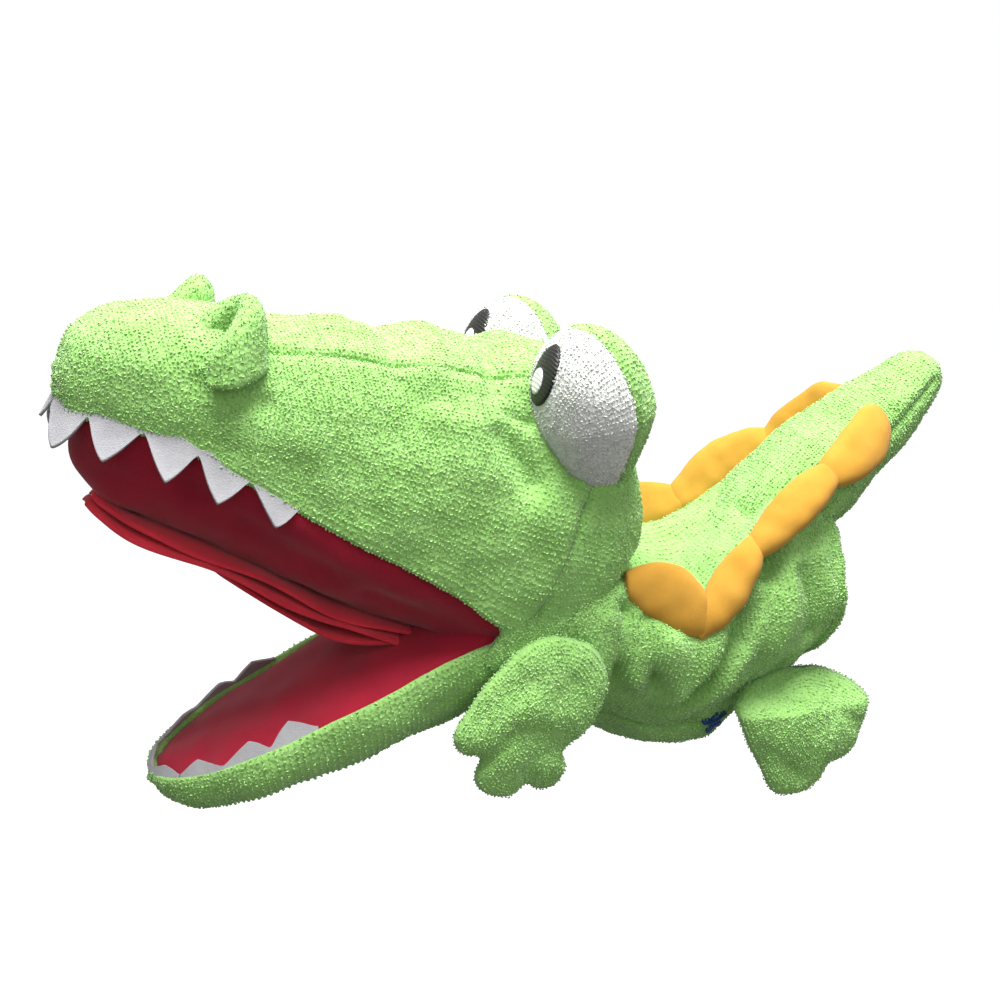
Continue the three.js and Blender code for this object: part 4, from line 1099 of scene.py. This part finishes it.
def mouthCorner(mirror, sideName, seed):
    rails = np.stack([spline(np.array(rail, float), np.linspace(0, 2, 48)) for rail in cornerRails])
    grid = spline(rails, np.linspace(0, len(cornerRails) - 1, 56)) * [1, mirror, 1]
    outward = gridNormals(grid)
    if outward[28, 24, 1] * mirror > 0:
        outward = -outward
    grid = grid + outward * (softNoise(grid, 16, seed) * 0.6)[..., None]
    piece = terryPiece("mouth_corner_" + sideName, grid,
                       ("lower_jaw", "sleeve", (-182, 0, -6), (-152, 0, 6)), [],
                       flip=mirror > 0, seed=seed)
    return piece


mouthCorner(1, "left", 98)
mouthCorner(-1, "right", 99)


# Cuff: a turned hem round the hand opening, with its row of stitches.

cuff = {"stitchPitch": 3.2, "stitchLength": 2.2}


def cuffGrid():
    ring = body[-1]
    centre = ring.mean(0)
    away = ring - centre
    away /= np.linalg.norm(away, axis=1, keepdims=True)
    along = np.array([1.0, 0, 0])
    # Profile: from inside the cover, round the folded end and back inside the opening.
    profile = [(-9, 0.4), (-8, 1.5), (-6, 2.0), (-5.0, 1.3), (-4, 2.0), (-2, 2.6), (0, 2.4), (1.6, 1.2),
               (2.0, -0.4), (1.4, -2.0), (-1, -2.8), (-5, -3.0), (-10, -2.6)]
    p = evenPath([(a, b, 0) for a, b in profile], 22)
    grid = np.stack([ring + along * a + away * b for a, b, _ in p])
    wave = np.sin(np.arange(len(ring)) * 0.21) * 0.9 + np.sin(np.arange(len(ring)) * 0.53) * 0.4
    return grid + along * wave[None, :, None] * 0.8


hem = cuffGrid()
terryPiece("cuff_hem_cloth", hem, "sleeve", ["cuff_hem"], closed=True, flip=True, solid=0, seed=97)


def stitchTree():
    tree = bpy.data.node_groups.new("stitchRow", "GeometryNodeTree")
    face = tree.interface
    face.new_socket("Path", in_out="INPUT", socket_type="NodeSocketGeometry")
    for name in ("Pitch", "Stitch Length", "Thread Radius"):
        face.new_socket(name, in_out="INPUT", socket_type="NodeSocketFloat")
    face.new_socket("Thread", in_out="INPUT", socket_type="NodeSocketMaterial")
    face.new_socket("Stitches", in_out="OUTPUT", socket_type="NodeSocketGeometry")
    given = addNode(tree, "NodeGroupInput").outputs
    curve = addNode(tree, "GeometryNodeMeshToCurve", None, {0: given["Path"]})
    points = addNode(tree, "GeometryNodeCurveToPoints", {"mode": "LENGTH"},
                     {"Curve": curve.outputs[0], "Length": given["Pitch"]})
    ball = addNode(tree, "GeometryNodeMeshIcoSphere", {"Subdivisions": 1}, {"Radius": given["Thread Radius"]})
    longer = addNode(tree, "ShaderNodeMath", {"operation": "DIVIDE"},
                     {0: given["Stitch Length"], 1: given["Thread Radius"]})
    half = addNode(tree, "ShaderNodeMath", {"operation": "MULTIPLY", 1: 0.5}, {0: longer.outputs[0]})
    size = addNode(tree, "ShaderNodeCombineXYZ", {"X": 1.0, "Y": 1.0}, {"Z": half.outputs[0]})
    stitch = addNode(tree, "GeometryNodeTransform", None,
                     {"Geometry": ball.outputs[0], "Scale": size.outputs[0]})
    turn = addNode(tree, "FunctionNodeAlignRotationToVector", {"axis": "Z"},
                   {"Vector": points.outputs["Tangent"]})
    placed = addNode(tree, "GeometryNodeInstanceOnPoints", None,
                     {"Points": points.outputs[0], "Instance": stitch.outputs[0],
                      "Rotation": turn.outputs[0]})
    real = addNode(tree, "GeometryNodeRealizeInstances", None, {0: placed.outputs[0]})
    smooth = addNode(tree, "GeometryNodeSetShadeSmooth", None, {0: real.outputs[0]})
    end = addNode(tree, "GeometryNodeSetMaterial", None,
                  {"Geometry": smooth.outputs[0], "Material": given["Thread"]})
    addNode(tree, "NodeGroupOutput", None, {0: end.outputs[0]})
    return tree


stitches = stitchTree()


def stitchRow(name, path, how, pitch, length, radius, thread, closed=False):
    n = len(path)
    edges = [(k, (k + 1) % n) for k in range(n if closed else n - 1)]
    mesh = bpy.data.meshes.new(name)
    mesh.from_pydata((np.asarray(path) / 1000).tolist(), edges, [])
    piece = bpy.data.objects.new(name, mesh)
    bpy.context.scene.collection.objects.link(piece)
    runTree(piece, stitches, {"Pitch": pitch / 1000, "Stitch Length": length / 1000,
                              "Thread Radius": radius / 1000, "Thread": thread})
    return attach(piece, how)


greenThread = satinThread("green_sewing_thread", "#7cbf4a", "#5f9f38")
stitchRow("cuff_stitches", evenPath(hem[7], 200, closed=True), "sleeve", cuff["stitchPitch"],
          cuff["stitchLength"], 0.45, greenThread, closed=True)


# Tail: a stuffed tube from the rump to a round tip, top and underside joined by side seams.

tail = {"root": (8, 0, 58), "along": (0.8, 0, 0.6), "up": (-0.6, 0, 0.8)}
tailStations = [[-58, 10, 26], [-46, 15, 30], [-30, 19, 33], [-12, 21.5, 33], [4, 21.5, 30], [20, 20, 26],
                [36, 18, 22], [50, 16, 19], [62, 13.6, 16], [70, 10.4, 12], [74.5, 6, 7], [76, 0.1, 0.15]]


def tailGrid(fromReach, toReach, rows, cols):
    line = np.array(tailStations, float)
    u = np.interp(np.linspace(fromReach, toReach, rows), line[:, 0], np.arange(len(line)))
    s = spline(line, u)
    t = np.linspace(0, 2 * math.pi, cols, endpoint=False)
    c, w = np.cos(t), np.sin(t)
    grid = np.zeros((rows, cols, 3))
    root, along, up = (np.array(tail[k], float) for k in ("root", "along", "up"))
    for k in range(rows):
        side = s[k, 2] * np.sign(c) * np.abs(c) ** 0.92
        high = s[k, 1] * np.sign(w) * np.abs(w) ** 0.92
        grid[k] = root + along * s[k, 0] + up * high[:, None] + np.array([0, 1.0, 0]) * side[:, None]
    return grid


tailRows, tailCols = 88, 104
tailCloth = tailGrid(-58, 76, tailRows, tailCols)
tailOut = gridNormals(np.concatenate([tailCloth[:, -2:], tailCloth, tailCloth[:, :2]], 1))[:, 2:-2]
if tailOut[30, tailCols // 4] @ np.array(tail["up"]) < 0:
    tailOut = -tailOut
for column in (0, tailCols // 2):
    seam = tailCloth[8:tailRows - 4, column]
    tailCloth = press(tailCloth, tailOut, [(seam[::4], 2.0, -2.0), (seam[::4], 7, 0.8)])
tailCloth = tailCloth + tailOut * (softNoise(tailCloth, 30, 98) * 0.9)[..., None]
tailBlend = ("sleeve", "tail", (-2, 0, 50), (20, 0, 67))
tailColumn = np.arange(tailCols)[None, :] * np.ones((tailRows - 1, 1), int)
tailRow = np.arange(tailRows - 1)[:, None] * np.ones((1, tailCols), int)
rumpRow = int(np.argmin(np.abs(np.linspace(-58, 76, tailRows) + 3)))
terryPiece("rump_cover", tailCloth, tailBlend, ["rump"], tailRow < rumpRow, closed=True, seed=101, flip=True,
           solid=1.4)
onTail, onTop = tailRow >= rumpRow, tailColumn < tailCols // 2
terryPiece("tail_upper_cover", tailCloth, tailBlend, ["tail_top"], onTail & onTop,
           closed=True, seed=102, flip=True, solid=1.4)
terryPiece("tail_under_cover", tailCloth, tailBlend, ["tail_under"], onTail & ~onTop,
           closed=True, seed=103, flip=True, solid=1.4)
print("tail made")


# Crest: padded velour scales in two rows, each a pillow between its sewn edge and its free edge.

crestScales = {
    "crest_left_neck": ([(-112, -42, 29), (-99, -44, 32), (-88, -46, 30), (-80, -49, 22)],
                        [(-113, -48, 16), (-102, -51, 7), (-90, -54, 0), (-80, -55, -3)], neckBlend),
    "crest_left_mid": ([(-79, -49, 8), (-76, -48, 18), (-68, -45, 28), (-53, -42, 38)],
                       [(-80, -56, -3), (-64, -58, 8), (-55, -56, 22), (-50, -52, 30)], neckBlend),
    "crest_left_rump": ([(-51, -41, 39), (-40, -39, 52), (-29, -36, 60), (-14, -33, 66)],
                        [(-48, -51, 31), (-31, -53, 42), (-17, -49, 52), (-8, -43, 58)], "sleeve"),
    "crest_left_tail": ([(-12, -32, 67), (1, -28, 78), (15, -22, 88), (23, -19, 89)],
                        [(-5, -42, 58), (7, -42, 61), (20, -36, 66), (28, -28, 74)], tailBlend),
    "crest_right_neck": ([(-112, 50, 40), (-99, 51, 44), (-88, 50, 45), (-76, 47, 43)],
                         [(-112, 42, 26), (-99, 41, 22), (-88, 39, 20), (-75, 36, 21)], neckBlend),
    "crest_right_mid": ([(-74, 46, 43), (-66, 44, 44), (-58, 43, 43), (-50, 41, 41)],
                        [(-74, 36, 22), (-67, 34, 22), (-58, 33, 25), (-50, 32, 29)], neckBlend),
    "crest_right_rump": ([(-50, 41, 41), (-38, 41, 56), (-24, 39, 65), (-4, 34, 69)],
                         [(-50, 32, 29), (-33, 31, 36), (-15, 29, 45), (-2, 26, 53)], "sleeve"),
    "crest_right_tail": ([(-3, 34, 70), (5, 29, 81), (17, 21, 92), (24, 14, 92)],
                         [(-2, 26, 53), (10, 21, 63), (19, 16, 74), (25, 11, 84)], tailBlend)}


def scale(name, upper, lower, how, seed):
    rows, around = 46, 30
    top, bottom = evenPath(upper, rows), evenPath(lower, rows)
    middle, half = (top + bottom) / 2, (top - bottom) / 2
    middle = middle + np.outer(np.linspace(-1, 1, rows), middle[-1] - middle[0]) * 0.055
    along = np.gradient(middle, axis=0)
    along /= np.linalg.norm(along, axis=1, keepdims=True)
    face = np.cross(along, half)
    face /= np.linalg.norm(face, axis=1, keepdims=True)
    if (face[:, 1].mean() > 0) == (middle[0, 1] < 0):
        face = -face
    t = np.linspace(-1, 1, rows)
    ends = np.clip(1 - np.abs(t) ** 5.5, 0, 1) ** 0.55
    grid = np.zeros((rows, around, 3))
    s = np.linspace(0, 2 * math.pi, around, endpoint=False)
    c, w = np.cos(s), np.sin(s)
    for k in range(rows):
        wide = np.sign(c) * np.abs(c) ** 0.85 * (0.86 + 0.14 * ends[k])
        proud = np.where(w > 0, 5.5, 4.0) * np.sign(w) * np.abs(w) ** 0.9 * (0.72 + 0.28 * ends[k])
        grid[k] = middle[k] + half[k] * wide[:, None] + face[k] * proud[:, None]
    n = gridNormals(grid)
    grid = grid + n * (softNoise(grid, 14, seed) * 0.35)[..., None]
    piece = gridPiece(name + "_scale", grid, crestVelour, closed=True, capStart=True, capEnd=True)
    smooth = piece.modifiers.new("smooth", "SUBSURF")
    smooth.levels = smooth.render_levels = 1
    applyModifiers(piece)
    fixNormals(piece)
    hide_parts(name)
    return attach(piece, how)


for k, (name, (upper, lower, how)) in enumerate(crestScales.items()):
    scale(name, upper, lower, how, 110 + k)
print("crest made")


# Legs: flat stuffed paws with soft toes.

legs = {"swell": 8.5, "back": 5.0}
frontPaw = [(-166, 3), (-182, -9), (-196, -26), (-199, -34), (-195, -40), (-187, -43),
            (-189, -52), (-184, -60), (-175, -63), (-166, -59), (-160, -62), (-152, -61), (-148, -54),
            (-149, -45), (-139, -38), (-130, -28), (-127, -17), (-130, -5), (-138, 4), (-152, 8)]
hindPaw = [(-57, -40), (-55, -54), (-50, -66), (-45, -76), (-38, -85), (-27, -87), (-18, -83), (-12, -76),
           (-2, -72), (4, -64), (9, -52), (11, -44), (0, -36), (-14, -31), (-34, -32)]


def paw(name, outline, inner, lean, mirror, body, node, toes, seed, tuck=0):
    rings, spokes = 24, 140
    edge = evenPath([(x, 0, z) for x, z in outline], spokes, closed=True)
    centre = edge.mean(0)
    r = np.concatenate([np.linspace(0.04, 1, rings), np.linspace(1, 0.04, rings)[1:]])
    face = np.concatenate([np.ones(rings), -np.ones(rings - 1)])
    grid = np.zeros((len(r), spokes, 3))
    for k in range(len(r)):
        flat = centre + (edge - centre) * r[k]
        rise = np.sqrt(max(1 - r[k] ** 2.6, 0))
        swell = legs["swell"] if face[k] > 0 else legs["back"]
        y = inner - 6 - face[k] * swell * rise
        grid[k] = flat
        below = edge[:, 2].max() - flat[:, 2]
        grid[k, :, 1] = y - lean * below + tuck * np.maximum(15 - below, 0)
    n = gridNormals(np.concatenate([grid[:, -2:], grid, grid[:, :2]], 1))[:, 2:-2]
    if n[8, 10, 1] > 0:
        n = -n
    grid = press(grid, n, toes)
    grid = grid + n * (softNoise(grid, 18, seed) * 0.7)[..., None]
    grid[..., 1] *= mirror
    piece = terryPiece(name, grid, body, [node], closed=True, capStart=True, capEnd=True, solid=0,
                       seed=seed, flip=mirror < 0)
    return piece


frontToes = [([(-187, -66, -43), (-180, -68, -36), (-173, -68, -30)], 3.2, -3.4),
             ([(-167, -64, -60), (-167, -68, -50), (-166, -69, -42)], 2.8, -3.0),
             ([(-149, -64, -47), (-156, -68, -42)], 3.0, -2.2),
             ([(-178, -68, -12), (-172, -69, -8)], 6.5, -3.4),
             ([(-166, -68, -20), (-150, -69, -24)], 8, 2.2),
             ([(-152, -66, 0), (-146, -66, -10)], 3.6, -2.2),
             ([(-190, -66, -30), (-184, -68, -26)], 6, 2.0)]
hindToes = [([(-40, -60, -40), (-30, -62, -52), (-16, -62, -62)], 7, 1.8),
            ([(-20, -60, -36), (-8, -61, -46), (2, -60, -54)], 4, -1.6),
            ([(-47, -58, -60), (-38, -60, -68), (-28, -60, -76)], 4, -1.2)]
for mirror, sideName in ((1, "left"), (-1, "right")):
    paw("paw_front_" + sideName, frontPaw, -48.5, 0.04, mirror, "leg_front_" + sideName,
        "front_leg_" + sideName, frontToes, 121)
    paw("paw_hind_" + sideName, hindPaw, -43, 0.10, mirror, "leg_hind_" + sideName,
        "hind_leg_" + sideName, hindToes, 122, tuck=0.95)
print("legs made")


# A small generic flower in blue satin stitch on the belly.

def bellyFlower():
    centre = np.array([-58.0, -33.0, -57.0])
    k = int(np.argmin(np.linalg.norm(body.reshape(-1, 3) - centre, axis=1)))
    place, n = body.reshape(-1, 3)[k], bodyOut.reshape(-1, 3)[k]
    across = np.cross(n, [0, 0, 1.0])
    across /= np.linalg.norm(across)
    up = np.cross(across, n)
    rings, spokes = 8, 90
    t = np.linspace(0, 2 * math.pi, spokes, endpoint=False)
    petals = 7.0 * (0.72 + 0.28 * np.cos(5 * t))
    tree = kdtree.KDTree(body.shape[0] * body.shape[1])
    for i, p in enumerate(body.reshape(-1, 3)):
        tree.insert(p, i)
    tree.balance()
    grid = np.zeros((rings + 1, spokes, 3))
    for i, r in enumerate(np.linspace(0.06, 1, rings)):
        flat = place + across * (petals * r * np.cos(t))[:, None] + up * (petals * r * np.sin(t))[:, None]
        for j, p in enumerate(flat):
            _, index, _ = tree.find(p)
            q, m = body.reshape(-1, 3)[index], bodyOut.reshape(-1, 3)[index]
            grid[i, j] = p + m * ((q - p) @ m + 1.1 + 0.3 * (1 - r**2))
    grid[-1] = grid[-2] - n * 1.6
    piece = gridPiece("belly_flower", grid, blueThread, closed=True, capStart=True, capEnd=True)
    fixNormals(piece)
    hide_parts("belly_stitching")
    attach(piece, neckBlend)


bellyFlower()


# Inside: stuffing and the boards that stiffen the jaws.

def looseFilling(node, name, body, seed):
    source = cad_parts[node]
    piece = bpy.data.objects.new(name, source.data.copy())
    bpy.context.scene.collection.objects.link(piece)
    work = bmesh.new()
    work.from_mesh(piece.data)
    bmesh.ops.remove_doubles(work, verts=work.verts, dist=1e-5)
    work.to_mesh(piece.data)
    work.free()
    voxels = piece.modifiers.new("voxels", "REMESH")
    voxels.mode, voxels.voxel_size = "VOXEL", 0.003
    even = piece.modifiers.new("even", "SMOOTH")
    even.iterations = 6
    applyModifiers(piece)
    count = len(piece.data.vertices)
    co, no = np.zeros(count * 3), np.zeros(count * 3)
    piece.data.vertices.foreach_get("co", co)
    piece.data.vertices.foreach_get("normal", no)
    co, no = co.reshape(-1, 3) * 1000, no.reshape(-1, 3)
    co -= no * (1.6 + softNoise(co, 9, seed) * 0.7)[:, None]
    piece.data.vertices.foreach_set("co", (co / 1000).ravel())
    piece.data.polygons.foreach_set("use_smooth", [True] * len(piece.data.polygons))
    piece.data.materials.clear()
    piece.data.materials.append(stuffingFibre)
    piece.data.update()
    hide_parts(node)
    attach(piece, body)


looseFilling("head_stuffing", "head_filling", "upper_jaw", 131)
looseFilling("jaw_stuffing", "jaw_filling", "lower_jaw", 132)
for node in ("upper_board", "lower_board"):
    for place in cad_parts[node].material_slots:
        place.material = boardCard


# Floor, light and camera.

def paperMaterial(name, bright, bounce):
    # Matt studio paper: it shows bright and sends back less light than it shows.
    material, tree, shader = newMaterial(name, {"Roughness": 0.9, "Specular IOR Level": 0.1})
    ray = addNode(tree, "ShaderNodeLightPath")
    glow = addNode(tree, "ShaderNodeMix", {"data_type": "RGBA"}, {"Factor": ray.outputs["Is Camera Ray"]})
    glow.inputs[6].default_value, glow.inputs[7].default_value = linear(bounce), linear(bright)
    tree.links.new(glow.outputs[2], shader.inputs["Base Color"])
    lit = addNode(tree, "ShaderNodeMath", {"operation": "MULTIPLY", 1: 0.9},
                  {0: ray.outputs["Is Camera Ray"]})
    shader.inputs["Emission Color"].default_value = (1, 1, 1, 1)
    tree.links.new(lit.outputs[0], shader.inputs["Emission Strength"])
    return material


studio = {"floorHeight": -0.35, "key": 45, "fill": 3, "side": 4, "sky": 0.42}
floor = makeMesh("floor", [(-60000, -60000, 0), (60000, -60000, 0), (60000, 60000, 0), (-60000, 60000, 0)],
                 [(0, 1, 2, 3)], smooth=False,
                 material=paperMaterial("pale_studio_paper", "#808080", "#6c6c6c"))
floor.location.z = studio["floorHeight"]


def areaLamp(name, place, target, size, power):
    lamp = bpy.data.lights.new(name, "AREA")
    lamp.shape, lamp.size, lamp.energy = "DISK", size, power
    holder = bpy.data.objects.new(name, lamp)
    bpy.context.scene.collection.objects.link(holder)
    holder.location = place
    holder.rotation_euler = (Vector(target) - Vector(place)).to_track_quat("-Z", "Y").to_euler()


areaLamp("overhead_softbox", (-0.20, -0.15, 1.3), (-0.14, 0, 0.04), 0.9, studio["key"])
areaLamp("camera_side_fill", (-0.9, -1.3, 0.9), (-0.14, 0, 0.04), 1.2, studio["fill"])
areaLamp("right_side", (0.6, -1.3, 0.8), (-0.14, 0, 0.04), 0.8, studio["side"])
world = bpy.data.worlds.new("white_studio")
world.use_nodes = True
backdrop = world.node_tree.nodes["Background"]
backdrop.inputs["Color"].default_value = (1, 1, 1, 1)
seen = addNode(world.node_tree, "ShaderNodeLightPath")
brightness = addNode(world.node_tree, "ShaderNodeMapRange", {"To Min": studio["sky"], "To Max": 1.0},
                     {"Value": seen.outputs["Is Camera Ray"]})
world.node_tree.links.new(brightness.outputs[0], backdrop.inputs["Strength"])
bpy.context.scene.world = world
bpy.context.scene.view_settings.view_transform = "Standard"

shot = {"azimuth": -20, "elevation": 16, "distance": 0.75, "lens": 59.4, "aim": (-0.157, 0, 0.055)}
azimuth, elevation = math.radians(shot["azimuth"]), math.radians(shot["elevation"])
ahead = Vector((-math.sin(azimuth) * math.cos(elevation), math.cos(azimuth) * math.cos(elevation),
                -math.sin(elevation)))
camera = bpy.data.objects.new("camera", bpy.data.cameras.new("camera"))
bpy.context.scene.collection.objects.link(camera)
camera.data.lens, camera.data.sensor_width = shot["lens"], 36
camera.data.clip_start, camera.data.clip_end = 0.02, 200
camera.location = Vector(shot["aim"]) - ahead * shot["distance"]
camera.rotation_euler = ahead.to_track_quat("-Z", "Y").to_euler()
bpy.context.scene.camera = camera

print("scene ready")
